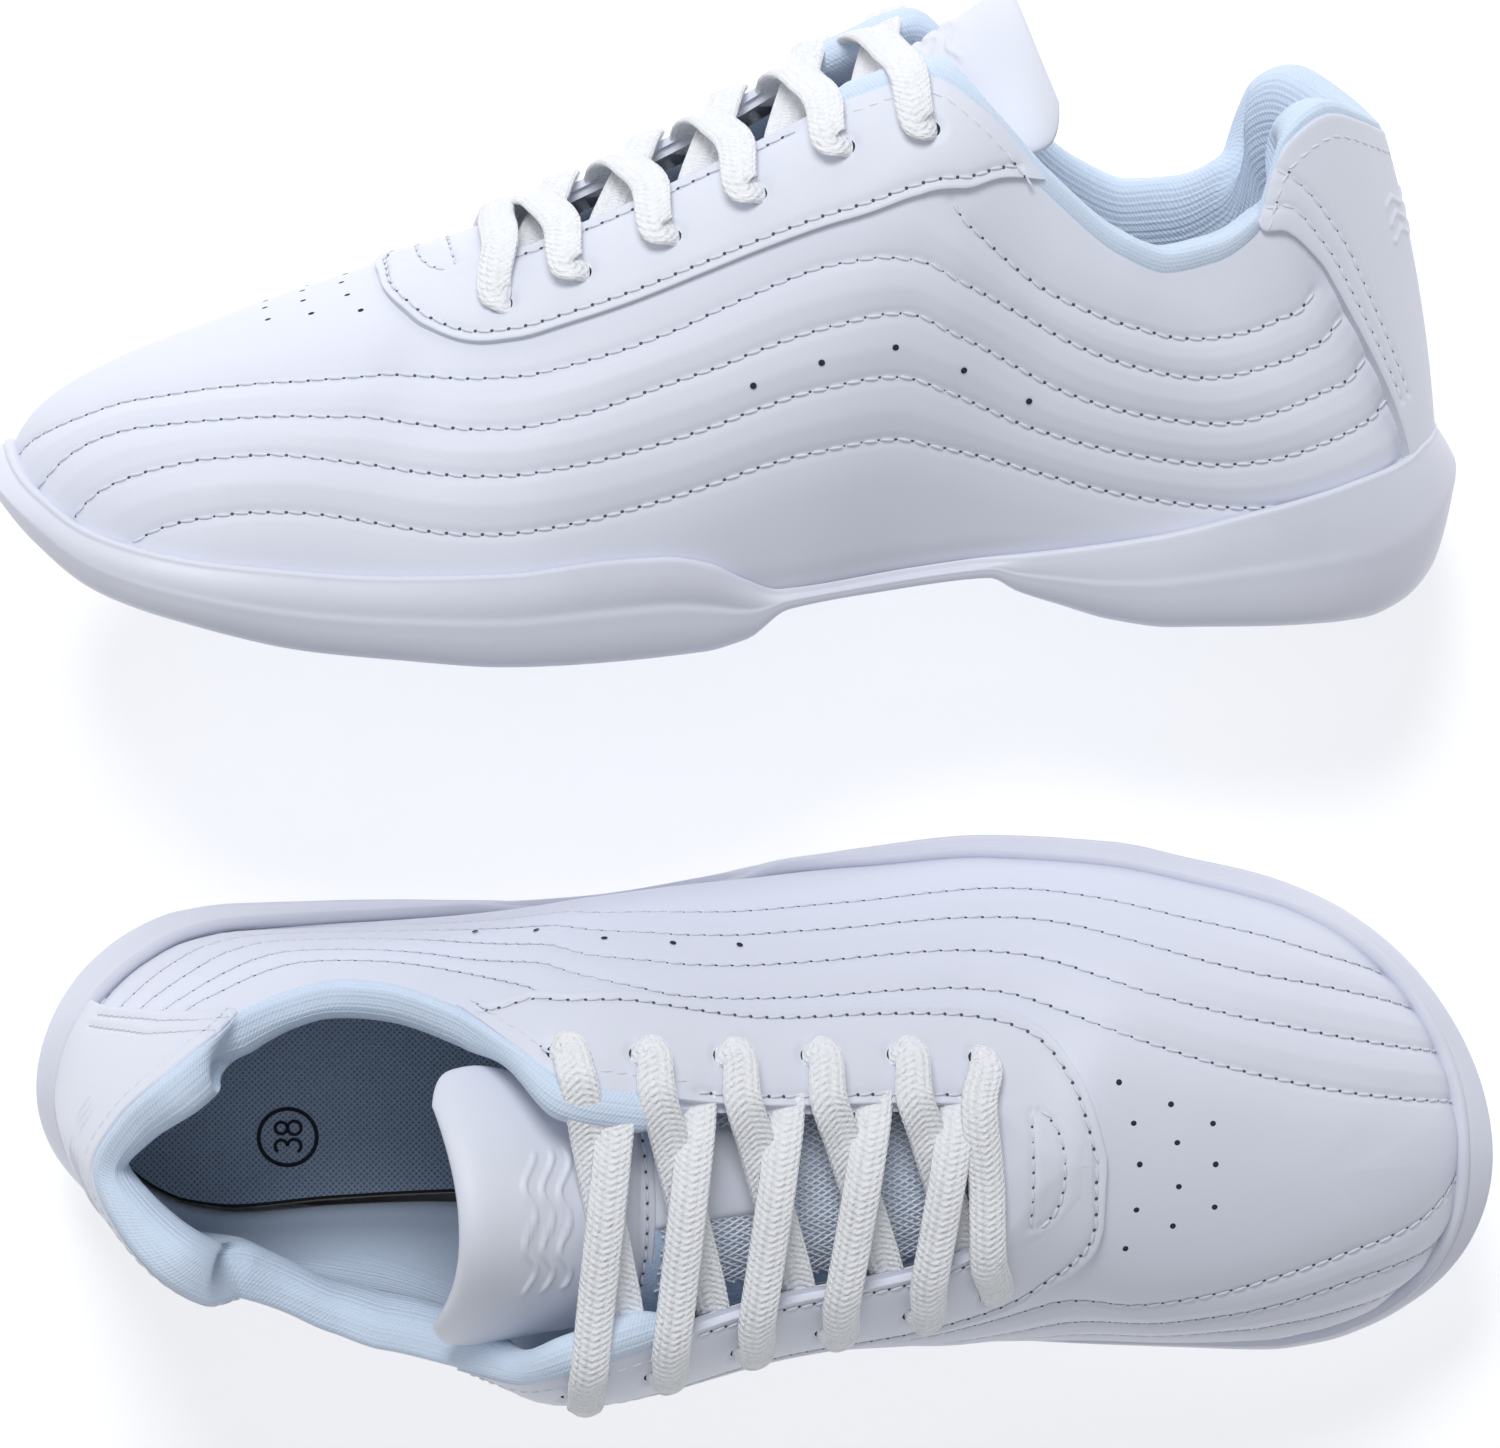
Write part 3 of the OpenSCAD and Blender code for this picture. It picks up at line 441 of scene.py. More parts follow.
def tint(nt, b, fac, c0, c1, p0=0.0, p1=1.0):
    r = node(nt, "ShaderNodeValToRGB")
    r.color_ramp.elements[0].position, r.color_ramp.elements[1].position = p0, p1
    r.color_ramp.elements[0].color, r.color_ramp.elements[1].color = (*c0, 1), (*c1, 1)
    nt.links.new(fac, r.inputs["Fac"])
    nt.links.new(r.outputs["Color"], b.inputs["Base Color"])
    return r


def uv_split(nt):
    u = node(nt, "ShaderNodeUVMap", uv_map="UVMap")
    s = node(nt, "ShaderNodeSeparateXYZ")
    nt.links.new(u.outputs["UV"], s.inputs[0])
    return s.outputs["X"], s.outputs["Y"]


WHITE = (.785, .805, .90)
for nm, col, ro in (("upper_leather", WHITE, .52), ("overlay_leather", (.79, .81, .895), .50)):
    m, nt, b = material(nm, col, ro, .36)
    v = tex(nt, "ShaderNodeTexVoronoi", 1500)
    bump(nt, b, v.outputs["Distance"], .10, .00012)
    n2 = tex(nt, "ShaderNodeTexNoise", 240)
    bump(nt, b, n2.outputs["Fac"], .10, .00030)
    n3 = tex(nt, "ShaderNodeTexNoise", 60)
    mr = node(nt, "ShaderNodeMapRange")
    mr.inputs["To Min"].default_value, mr.inputs["To Max"].default_value = ro - .04, ro + .06
    nt.links.new(n3.outputs["Fac"], mr.inputs["Value"])
    nt.links.new(mr.outputs["Result"], b.inputs["Roughness"])
m, nt, b = material("cut_edge", (.62, .64, .70), .8)
bump(nt, b, tex(nt, "ShaderNodeTexNoise", 2200).outputs["Fac"], .5, .0003)
m, nt, b = material("sole", (.765, .78, .85), .42, .40)
n1 = tex(nt, "ShaderNodeTexNoise", 420)
bump(nt, b, n1.outputs["Fac"], .10, .0004)
n2 = tex(nt, "ShaderNodeTexNoise", 38)
tint(nt, b, n2.outputs["Fac"], (.74, .755, .85), (.77, .785, .87), .35, .65)
m, nt, b = material("tread", (.74, .755, .82), .6, .35)
bump(nt, b, tex(nt, "ShaderNodeTexNoise", 900).outputs["Fac"], .3, .0003)
m, nt, b = material("thread", (.80, .82, .88), .75, .3)
bump(nt, b, tex(nt, "ShaderNodeTexNoise", 4000).outputs["Fac"], .4, .0002)
# dark discs for holes: painted shade of a hole's inside, laid on the surface instead of an opening; near-black for
# eyelets and vents, dark grey for needle holes
m, nt, b = material("hole", (.035, .04, .05), .9, .1)
bump(nt, b, tex(nt, "ShaderNodeTexNoise", 2000).outputs["Fac"], .2, .0002)
m, nt, b = material("needle_hole", (.10, .11, .14), .9, .1)
bump(nt, b, tex(nt, "ShaderNodeTexNoise", 2000).outputs["Fac"], .2, .0002)

# lining: pale blue ribbed textile; u runs along the edge in mm, v across it in mm
m, nt, b = material("lining", (.70, .81, .96), .9, .15, sheen=.2)
u, v = uv_split(nt)
w1 = maths(nt, "SINE", maths(nt, "MULTIPLY", maths(nt, "ADD", u, maths(nt, "MULTIPLY", v, .6)), 2 * PI / .8))
w2 = maths(nt, "SINE", maths(nt, "MULTIPLY", v, 2 * PI / .75))
h = maths(nt, "ADD", maths(nt, "MULTIPLY", w1, .5), maths(nt, "MULTIPLY", w2, .35))
bump(nt, b, h, .35, .00016)
bump(nt, b, tex(nt, "ShaderNodeTexNoise", 2600).outputs["Fac"], .35, .0003)
# colour follows the rib height: crests lighter, valleys darker, painted shade in the rib hollows
tint(nt, b, maths(nt, "ADD", maths(nt, "MULTIPLY", h, .3), .5), (.66, .78, .95), (.76, .86, .98), .2, .9)

# sockliner: grey-blue lattice weave
m, nt, b = material("sockliner", (.127, .162, .223), .85, .2)
u, v = uv_split(nt)
a1 = maths(nt, "SINE", maths(nt, "MULTIPLY", maths(nt, "ADD", u, v), 2 * PI / 1.15))
a2 = maths(nt, "SINE", maths(nt, "MULTIPLY", maths(nt, "SUBTRACT", u, v), 2 * PI / 1.15))
lat = maths(nt, "MAXIMUM", a1, a2)
bump(nt, b, lat, .6, .00035)
tint(nt, b, maths(nt, "ADD", maths(nt, "MULTIPLY", lat, .5), .5), (.20, .25, .33), (.36, .43, .53), .25, .95)
m, nt, b = material("sock_edge", (.02, .025, .03), .8, .1)
bump(nt, b, tex(nt, "ShaderNodeTexNoise", 2000).outputs["Fac"], .3, .0003)
m, nt, b = material("ink", (.012, .014, .018), .7, .2)
bump(nt, b, tex(nt, "ShaderNodeTexNoise", 3000).outputs["Fac"], .2, .0002)

# lace: woven, u along in mm, v around in mm
m, nt, b = material("lace", (.95, .96, .98), .95, .2, sheen=.3)
u, v = uv_split(nt)
va = maths(nt, "ABSOLUTE", v)
c1 = maths(nt, "SINE", maths(nt, "MULTIPLY", maths(nt, "ADD", u, maths(nt, "MULTIPLY", va, .8)), 2 * PI / 1.25))
c2 = maths(nt, "SINE", maths(nt, "MULTIPLY", v, 2 * PI / 1.05))
hh = maths(nt, "MULTIPLY", maths(nt, "ADD", c1, 1.4), maths(nt, "ADD", c2, 1.6))
bump(nt, b, hh, .36, .00026)
bump(nt, b, tex(nt, "ShaderNodeTexNoise", 1800).outputs["Fac"], .5, .0006)
tint(nt, b, maths(nt, "MULTIPLY", hh, .2), (.93, .94, .965), (.99, .99, 1.0), .1, .9)

m, nt, b = material("mesh_base", (.60, .73, .93), .85, .2)
bump(nt, b, tex(nt, "ShaderNodeTexNoise", 1500).outputs["Fac"], .5, .0004)
m, nt, b = material("mesh_strand", (.86, .91, .98), .8, .2)
bump(nt, b, tex(nt, "ShaderNodeTexNoise", 3000).outputs["Fac"], .5, .0003)
m, nt, b = material("board", (.70, .60, .45), .9, .2)
bump(nt, b, tex(nt, "ShaderNodeTexNoise", 800).outputs["Fac"], .5, .0006)
m, nt, b = material("foam", (.85, .80, .62), .95, .1)
bump(nt, b, tex(nt, "ShaderNodeTexVoronoi", 900).outputs["Distance"], .6, .0006)
m, nt, b = material("stiffener", (.70, .69, .62), .6, .3)
bump(nt, b, tex(nt, "ShaderNodeTexNoise", 700).outputs["Fac"], .3, .0004)
m, nt, b = material("shank", (.20, .22, .25), .45, .4)
bump(nt, b, tex(nt, "ShaderNodeTexNoise", 500).outputs["Fac"], .2, .0003)


# =====================================================================
# stitch rows: lists of (s, t) on one side of the shoe
# =====================================================================
ROWS = {
    "L0": [(.427, .754), (.42, .729), (.405, .725), (.385, .713), (.355, .696), (.325, .708), (.296, .713), (.265, .704), (.228, .688),
           (.18, .683), (.136, .692), (.104, .633)],
    "L1": [(.999, .117), (.956, .375), (.899, .542), (.841, .613), (.794, .608), (.758, .588), (.729, .558), (.7, .542), (.669, .562),
           (.639, .608), (.615, .621), (.599, .604), (.581, .6), (.561, .596), (.544, .6), (.532, .617), (.512, .629), (.491, .642),
           (.466, .629), (.439, .608), (.414, .613), (.383, .625), (.349, .588), (.314, .579), (.278, .567), (.234, .55), (.173, .567),
           (.126, .567), (.098, .521)],
    "L2": [(.926, .075), (.906, .2), (.884, .354), (.856, .433), (.826, .479), (.79, .483), (.759, .475), (.73, .458), (.701, .438),
           (.67, .442), (.641, .471), (.616, .479), (.595, .467), (.576, .462), (.557, .475), (.54, .487), (.527, .487), (.508, .508),
           (.486, .517), (.461, .517), (.441, .517), (.429, .512), (.405, .508), (.381, .492), (.356, .454), (.333, .438), (.307, .421),
           (.281, .412), (.25, .396), (.209, .412), (.146, .45), (.098, .404)],
    "L3": [(.87, .05), (.86, .125), (.845, .217), (.82, .292), (.794, .338), (.766, .358), (.738, .358), (.713, .342), (.686, .329),
           (.66, .333), (.636, .35), (.615, .354), (.596, .346), (.573, .342), (.555, .346), (.535, .358), (.522, .367), (.503, .392),
           (.481, .404), (.46, .404), (.438, .4), (.422, .4), (.401, .379), (.379, .354), (.357, .333), (.335, .312), (.312, .292),
           (.289, .275), (.261, .263), (.229, .263), (.182, .287), (.125, .304), (.096, .287)],
    "L4": [(.809, .087), (.792, .146), (.774, .175), (.753, .196), (.73, .208), (.706, .208), (.685, .204), (.667, .2), (.647, .2),
           (.629, .2), (.608, .2), (.589, .2), (.57, .204), (.549, .217), (.531, .233), (.519, .246), (.499, .275), (.476, .287),
           (.455, .287), (.434, .287), (.414, .275), (.389, .258), (.362, .229), (.336, .188), (.312, .158), (.285, .133), (.255, .113),
           (.221, .104), (.18, .117), (.139, .129), (.101, .138)],
}
# on the lateral side the rows run higher between the arch and the toe
FRONT = {
    "L1": [(.957, .06), (.945, .233), (.93, .37), (.915, .462), (.9, .533), (.884, .585), (.869, .625), (.856, .65), (.842, .673),
           (.83, .688), (.817, .7), (.802, .71), (.782, .718), (.762, .717), (.744, .707), (.725, .693), (.703, .67), (.691, .66),
           (.677, .652), (.665, .648), (.653, .65), (.633, .658), (.615, .66), (.599, .662), (.578, .675), (.552, .69), (.534, .702),
           (.508, .72)],
    "L2": [(.914, .045), (.901, .192), (.887, .288), (.874, .357), (.86, .41), (.848, .447), (.835, .48), (.823, .505), (.811, .525),
           (.799, .543), (.777, .56), (.758, .57), (.739, .567), (.72, .555), (.699, .542), (.688, .532), (.675, .527), (.653, .522),
           (.633, .53), (.615, .54), (.6, .542), (.585, .552), (.557, .57), (.53, .598), (.504, .627)],
    "L3": [(.876, .05), (.868, .11), (.856, .182), (.847, .22), (.836, .267), (.825, .303), (.814, .332), (.803, .358), (.792, .378),
           (.771, .41), (.753, .423), (.735, .42), (.715, .41), (.697, .4), (.675, .392), (.655, .39), (.636, .397), (.619, .407),
           (.602, .422), (.583, .435), (.56, .452), (.526, .483), (.5, .523)],
    "L4": [(.838, .08), (.822, .15), (.805, .205), (.79, .24), (.775, .254), (.757, .26), (.742, .264), (.727, .267), (.707, .267),
           (.692, .262), (.67, .26), (.645, .263), (.612, .275), (.603, .285), (.586, .307), (.573, .32), (.552, .34), (.539, .353),
           (.526, .372), (.512, .395), (.496, .415)],
}
RISE = {"L0": .04, "L1": .091, "L2": .12, "L3": .128, "L4": .14}


def lateral_row(k):
    if k == "L0":
        return [(a, b + RISE[k] * float(ease((a - .3) / .12))) for a, b in ROWS[k]]
    return FRONT[k] + [(a, b + RISE[k] * float(ease((a - .3) / .2))) for a, b in ROWS[k] if a < .493]


VENTS = [(.508, .438), (.48, .454), (.446, .458), (.41, .446), (.374, .417)]
TOE_VENTS = [(.703, .80, 1), (.72, .90, 1), (.73, 1, 1), (.721, .883, -1), (.706, .775, -1), (.738, .842, 1), (.749, .938, 1),
             (.751, .946, -1), (.739, .833, -1), (.766, .875, 1), (.782, .987, 1), (.769, .883, -1)]


def smooth_row(pts, n=700, passes=2):
    """an even, slightly smoothed (s, t) line through the given points"""
    P = np.array(pts, float)
    w = np.array([270.0, 100.0])
    for _ in range(passes):
        Q = P.copy()
        Q[1:-1] = .25 * P[:-2] + .5 * P[1:-1] + .25 * P[2:]
        P[1:-1] = .5 * P[1:-1] + .5 * Q[1:-1]
    L = np.concatenate([[0], np.cumsum(np.linalg.norm(np.diff(P * w, axis=0), axis=1))])
    u = np.linspace(0, L[-1], n)
    return np.stack([at(prep(np.stack([L, P[:, 0]], 1)), u), at(prep(np.stack([L, P[:, 1]], 1)), u)], 1)


def space(s, t, d, o, pitch):
    """points every pitch mm along a line on the upper: positions, normals, tangents"""
    P = skin(s, t, d, o)
    L = np.concatenate([[0], np.cumsum(np.linalg.norm(np.diff(P, axis=0), axis=1))])
    n = max(2, int(round(L[-1] / pitch)))
    u = (np.arange(n) + .5) * L[-1] / n
    s2, t2 = np.interp(u, L, s), np.interp(u, L, t)
    d2 = np.interp(u, L, np.broadcast_to(np.asarray(d, float), s.shape))
    d2 = np.where(d2 >= 0, 1.0, -1.0)
    if np.ndim(o):
        o = np.interp(u, L, o)
    Q = skin(s2, t2, d2, o)
    N = normal(s2, t2, d2)
    a = np.stack([np.interp(np.clip(u + .4, 0, L[-1]), L, P[:, k]) for k in range(3)], 1)
    b = np.stack([np.interp(np.clip(u - .4, 0, L[-1]), L, P[:, k]) for k in range(3)], 1)
    return Q, N, unit(a - b), L[-1] / n


# prototypes: a stitch capsule and a little disc of painted hole shade
def capsule(nl=5, nr=6):
    V, F = [], []
    for i in range(nl + 1):
        a = -1 + 2 * i / nl
        r = math.sqrt(max(0, 1 - abs(a) ** 2.6)) if 0 < i < nl else .28
        for j in range(nr):
            th = 2 * PI * j / nr
            V.append((a, math.cos(th) * r, math.sin(th) * r))
    for i in range(nl):
        for j in range(nr):
            F.append((i * nr + j, i * nr + (j + 1) % nr, (i + 1) * nr + (j + 1) % nr, (i + 1) * nr + j))
    return np.array(V), np.array(F)


CAP_V, CAP_F = capsule()


def dome(nr=8):
    V = [(0, 0, 1)] + [(math.cos(2 * PI * j / nr), math.sin(2 * PI * j / nr), 0) for j in range(nr)]
    F = [(0, 1 + j, 1 + (j + 1) % nr, 1 + (j + 1) % nr) for j in range(nr)]
    return np.array(V, float), np.array(F)


def scatter(proto_v, proto_f, C, X, Y, Z):
    """copies of a prototype with axes X, Y, Z (already scaled) at centres C"""
    V = C[:, None, :] + proto_v[None, :, 0:1] * X[:, None, :] + proto_v[None, :, 1:2] * Y[:, None, :] + proto_v[None, :, 2:3] * Z[:, None, :]
    F = proto_f[None] + (np.arange(len(C)) * len(proto_v))[:, None, None]
    return V.reshape(-1, 3), F.reshape(-1, proto_f.shape[1])


# dark discs of painted shade that stand for holes, per group
THREADS, HOLE_SHADES = {"shoe": [], "toe": []}, {"shoe": [], "toe": []}


def sew(Q, N, T, step, group, length=.74, r=.32, up=.12, twist=.12, hole=.34, paint_hole_shades=True):
    """stitches and the dark discs of painted shade that stand for the needle holes between them"""
    B = unit(np.cross(N, T))
    T2 = unit(T + B * twist)
    B2 = unit(np.cross(N, T2))
    C = Q + N * up
    THREADS[group].append((C, T2 * step * length / 2, B2 * r, N * r * .85))
    # the needle holes are dark discs of painted shade
    if paint_hole_shades:
        H = (Q[:-1] + Q[1:]) / 2
        NH, TH = unit(N[:-1] + N[1:]), unit(T[:-1] + T[1:])
        BH = unit(np.cross(NH, TH))
        HOLE_SHADES[group].append((H, NH, TH, BH, hole))


def dist_to(P, lines):
    pts = np.concatenate(lines)
    kd = KDTree(len(pts))
    for i, p in enumerate(pts):
        kd.insert(p, i)
    kd.balance()
    return np.array([kd.find(p)[2] for p in P])


# =====================================================================
# the upper: one quilted sheet of soft synthetic leather
# =====================================================================
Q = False
NS, NT = (300, 80) if Q else (540, 132)
row_st = {}
row_pts = []
for k, pts in ROWS.items():
    for d in (1.0, -1.0):
        r = smooth_row(lateral_row(k) if d > 0 else pts)
        row_st[(k, d)] = r
        row_pts.append(skin(r[:, 0], r[:, 1], d))


def relief(P):
    """the quilting: a narrow groove under each row of stitches and soft padding between rows"""
    near = dist_to(P, row_pts)
    return -.42 * np.exp(-(near / .95) ** 2) - .58 * np.exp(-(near / 4.2) ** 2) + .26


def upper_point(s, t, d, extra=0.0):
    P = skin(s, t, d, 0.0)
    N = normal(s, t, d)
    return P, N


S = np.linspace(0, 1, NS)
T = np.linspace(.0, 1, NT)
parts_v, parts_f, count = [], [], 0
SS, TT = np.meshgrid(S, T, indexing="ij")
for d in (1.0, -1.0):
    P = skin(SS, TT, d)
    N = normal(SS, TT, d)
    flat = P.reshape(-1, 3)
    rel = relief(flat).reshape(SS.shape)
    rel *= ease((1.0 - TT) / .05 + np.where(SS > .66, 1.0, 0.0))   # the leather is flat where the collar is bound
    rel *= ease((TT - .02) / .05)
    V = P + N * (rel - .3)[..., None]
    parts_v.append(V)
VL, VM = parts_v
n, m_ = SS.shape
F1 = grid_faces(n, m_)
# the outer sheets of both sides, welded into one at their shared points
V_outer = np.concatenate([VL.reshape(-1, 3), VM.reshape(-1, 3)])
F_outer = np.concatenate([F1[:, ::-1], F1 + n * m_])
V_up, F_up, _ = weld(V_outer, F_outer, .004)
F_up = [f for f in clean(F_up)]


def edge_loops(F):
    """directed edges used once"""
    seen = {}
    for f in F:
        for a, b in zip(f, f[1:] + f[:1]):
            seen[(a, b)] = True
    return [(a, b) for (a, b) in seen if (b, a) not in seen]


def thicken(V, F, t):
    """a thin closed shell: the sheet, its copy t mm inside, and the rim between them"""
    me = bpy.data.meshes.new("tmp")
    me.from_pydata([tuple(p) for p in V], [], F)
    me.update()
    nrm = np.zeros(len(V) * 3, np.float32)
    me.vertices.foreach_get("normal", nrm)
    nrm = nrm.reshape(-1, 3).astype(float)
    bpy.data.meshes.remove(me)
    k = len(V)
    rim = edge_loops(F)
    G = list(F) + [[v + k for v in f[::-1]] for f in F] + [[a, b, b + k, a + k][::-1] for a, b in rim]
    return np.concatenate([V, V - nrm * t]), G


def check_outward(V, F):
    """True if the sheet's faces look away from the middle of the shoe"""
    idx = np.random.RandomState(1).randint(0, len(F), 4000)
    s = 0
    for i in idx:
        f = F[i]
        a, b, c = V[f[0]], V[f[1]], V[f[2]]
        nn = np.cross(b - a, c - a)
        mid = (a + b + c) / 3
        s += np.sign(nn @ (mid - np.array([mid[0] * .8 + 27, -2, 40])))
    return s > 0


if not check_outward(V_up, F_up):
    F_up = [f[::-1] for f in F_up]
make("upper", V_up, F_up, "upper_leather", "toe",
     hides=("quarter_lateral", "quarter_medial", "vamp_flex_zone", "vamp_toe"))

# stitches of the quilting rows
for (k, d), r in row_st.items():
    pts, nn, tt, st = space(r[:, 0], r[:, 1], d, -.97, 3.2)
    keep = pts[:, 2] > at(RIM, sx(pts[:, 0])) - 1
    sew(pts[keep], nn[keep], tt[keep], st, "toe", length=.78, r=.30, up=.20)


# a dark disc of painted shade for each hole at (s, t, side)
def holes_at(lst, r, o, group, mats=None):
    for s, t, d in lst:
        p = skin(s, t, float(d), o)
        nn = normal(s, t, float(d))
        a = unit(np.cross(nn, [0.3, .2, 1.0]))
        HOLE_SHADES[group].append((p[None], nn[None], a[None], np.cross(nn, a)[None], r))


holes_at([(s, t + (.124 * float(ease((s - .3) / .2)) if d > 0 else 0), d) for s, t in VENTS for d in (1, -1)], .62, .0, "toe")
holes_at([(a + .0085, b, d) for a, b, d in TOE_VENTS], .60, -.02, "toe")

# =====================================================================
# the eyestay: a U-shaped overlay round the throat
# =====================================================================
SI = prep([[0, .371], [.1, .395], [.25, .43], [.4, .47], [.55, .52], [.7, .57], [.8, .605], [.87, .630], [.91, .643], [.94, .651], [.965, .657], [.985, .661], [1, .664]])
SO = prep([[0, .371], [.1, .395], [.25, .43], [.4, .47], [.55, .52], [.7, .57], [.8, .605], [.87, .633], [.91, .655], [.94, .676], [.965, .6965], [.985, .7085], [1, .7125]])
NK = 150 if Q else 300
KK = np.linspace(0, 1, NK)
# w: 0 at the throat edge, 1 at the outer edge, then a rounded drop to the leather below
W_ = np.concatenate([np.linspace(0, .94, 46), np.linspace(.952, 1, 7), np.full(5, 1.0)])
O_ = np.concatenate([np.full(46, 1.55), [1.55, 1.55, 1.54, 1.52, 1.48, 1.42, 1.32], [1.12, .8, .3, -.3, -1.1]])
W_IN = np.concatenate([np.full(6, 0.0), W_])
O_IN = np.concatenate([[-1.7, -.6, .3, .9, 1.2, 1.42], O_])


def eyestay_pt(k, w, o, d):
    si, so = at(SI, k), at(SO, k)
    ti = .985 + .015 * ease((k - .9) / .1)
    to = np.where(k > .999, 1.0, at(EDGE[1 if d > 0 else -1], so))
    s, t = si + (so - si) * w, ti + (to - ti) * w
    return s, t


def eyestay_grid(d):
    K, Wg = np.meshgrid(KK, W_IN, indexing="ij")
    _, Og = np.meshgrid(KK, O_IN, indexing="ij")
    s, t = eyestay_pt(K, Wg, Og, d)
    return s, t, Og


es_v = []
ES_ROWS = []
for d in (1.0, -1.0):
    s, t, o = eyestay_grid(d)
    P = skin(s, t, d)
    N = normal(s, t, d)
    es_v.append((P, N, o, s, t))
# a row of stitches 2 mm inside the outer edge, and one along the throat edge
stitch_lines = []
for d in (1.0, -1.0):
    P, N, o, s, t = es_v[0 if d > 0 else 1]
    # arc length across each row
    for inset, k0, k1, end in ((2.0, 0.0, 1.0, "outer"), (1.8, .50, .845, "inner")):
        out_s, out_t = [], []
        for i in range(NK):
            if not (k0 <= KK[i] <= k1):
                continue
            line = P[i, 6:59]
            L = np.concatenate([[0], np.cumsum(np.linalg.norm(np.diff(line, axis=0), axis=1))])
            if L[-1] < 2.5 * inset and end == "outer":
                continue
            u = L[-1] - inset if end == "outer" else inset
            out_s.append(np.interp(u, L, s[i, 6:59]))
            out_t.append(np.interp(u, L, t[i, 6:59]))
        stitch_lines.append((np.array(out_s), np.array(out_t), d, end))
es_lines = [skin(a, b, d) for a, b, d, e in stitch_lines]
X0B, LB = 176.6, 18.4


def bridge_uv(x, y):
    """where (x, y) lies on the saddle sheet: along, across, and how far from its rim"""
    u = (x - X0B) / LB
    for _ in range(6):
        hw = 18.2 * (1 - .7 * np.clip(u, 0, 1) ** 2.6)
        v = (y + 4.4 - 1.0 * u) / hw
        u = (x - X0B - 1.5 * np.clip(v, -1, 1) ** 2 * (1 - u)) / LB
    return u, v, np.minimum((1 - np.abs(v)) * hw / 5.5, (1 - u) * LB / 2.8)


Vs = []
for d in (1.0, -1.0):
    P, N, o, s, t = es_v[0 if d > 0 else 1]
    near = dist_to(P.reshape(-1, 3), es_lines).reshape(o.shape)
    eye_p = np.array([skin(a, b, d) for a, b in EYE[int(d)]])
    dd = np.min(np.linalg.norm(P[:, :, None, :] - eye_p[None, None], axis=-1), axis=-1)
    disp = o - (.38 * np.exp(-(near / .8) ** 2) + .22 * np.exp(-(near / 2.2) ** 2)) * (o > 1) - .9 * np.exp(-(dd / 2.3) ** 4)
    # under the saddle it is skived thin
    ub, vb, rb = bridge_uv(P[..., 0], P[..., 1])
    disp -= .9 * ease((rb - .85) / .3) * (ub > .0) * (P[..., 2] > 40)
    Vs.append(P + N * disp[..., None])
n, m_ = Vs[0].shape[:2]
Fg = grid_faces(n, m_)
V = np.concatenate([Vs[0].reshape(-1, 3), Vs[1].reshape(-1, 3)])
F = np.concatenate([Fg, Fg[:, ::-1] + n * m_])
lab = np.tile((np.tile(np.arange(m_ - 1), (n - 1, 1)) >= m_ - 5).astype(int).ravel(), 2)
V, F, _ = weld(V, F, .004)
ok = [i for i, f in enumerate(F.tolist()) if len(set(f)) == 4]
F = F[ok]
lab = lab[ok]
if not check_outward(V, F.tolist()):
    F = F[:, ::-1]
make("eyestay_overlay", V, F.copy(), "overlay_leather", "toe", hides=("eyestay",),
     mats=["overlay_leather", "cut_edge"], fmat=lab)
for a, b, d, e in stitch_lines:
    pts, nn, tt, st = space(a, b, d, 1.12, 3.2 if e == "outer" else 3.0)
    sew(pts, nn, tt, st, "toe", length=.78, r=.30, up=.12)
# eyelet holes as dark discs of painted shade
for d in (1, -1):
    for a, b in EYE[d]:
        p = skin(a, b, float(d), .80)
        nn = normal(a, b, float(d))
        x = unit(np.cross(nn, [1.0, .1, .1]))
        HOLE_SHADES["toe"].append((p[None], nn[None], x[None], np.cross(nn, x)[None], 2.25))

# the throat's toe end: the leather closes over the tongue's root in one smooth saddle
Sg, Tg = np.meshgrid(np.linspace(.58, .73, 120), np.linspace(.72, 1, 90), indexing="ij")
ring_p = np.concatenate([skin(Sg, Tg, d, 1.55).reshape(-1, 3) for d in (1.0, -1.0)])
near_c = (np.abs(ring_p[:, 1] + 3.2) < 27) & (ring_p[:, 0] > 170) & (ring_p[:, 0] < 208)
core = (np.abs(ring_p[:, 1] + 4.0) < 15.5 - .35 * np.clip(ring_p[:, 0] - 178, 0, 30)) & (ring_p[:, 0] < 195)
fit = ring_p[near_c & ~core]
TERMS = [(0, 0), (1, 0), (0, 1), (2, 0), (1, 1), (0, 2), (2, 1), (1, 2), (0, 4)]


def basis(x, y):
    u, v = (x - 188) / 15, (y + 3.2) / 15
    return np.stack([u ** i * v ** j for i, j in TERMS], -1)


coef = np.linalg.lstsq(basis(fit[:, 0], fit[:, 1]), fit[:, 2], rcond=None)[0]


def saddle(x, y):
    return basis(x, y) @ coef


ux = np.concatenate([np.full(5, 0.0), np.linspace(0, 1, 70)])
dz_front = np.concatenate([[-2.6, -1.8, -1.0, -.42, -.1], np.zeros(70)])
vy = np.linspace(-1, 1, 90)
UX, VY = np.meshgrid(ux, vy, indexing="ij")
XB = X0B + LB * UX + 1.5 * VY ** 2 * (1 - UX)
HW = 18.2 * (1 - .7 * UX ** 2.6)
YB = -4.4 + 1.0 * UX + HW * VY
rimw = np.minimum((1 - np.abs(VY)) * HW / 5.5, (1 - UX) * LB / 2.8)
kd_ = KDTree(len(ring_p))
for i, q in enumerate(ring_p):
    kd_.insert((q[0], q[1], 0), i)
kd_.balance()
Zs = saddle(XB, YB)
Zm = Zs.copy()
free = np.ones(XB.shape, bool)
for i in range(XB.shape[0]):
    for j in range(XB.shape[1]):
        hits = kd_.find_n((XB[i, j], YB[i, j], 0), 6)
        if hits[0][2] < .45:
            wq = np.array([1 / (.05 + h[2]) for h in hits])
            zq = np.array([ring_p[h[1]][2] for h in hits])
            Zm[i, j] = (wq * zq).sum() / wq.sum()
            free[i, j] = False
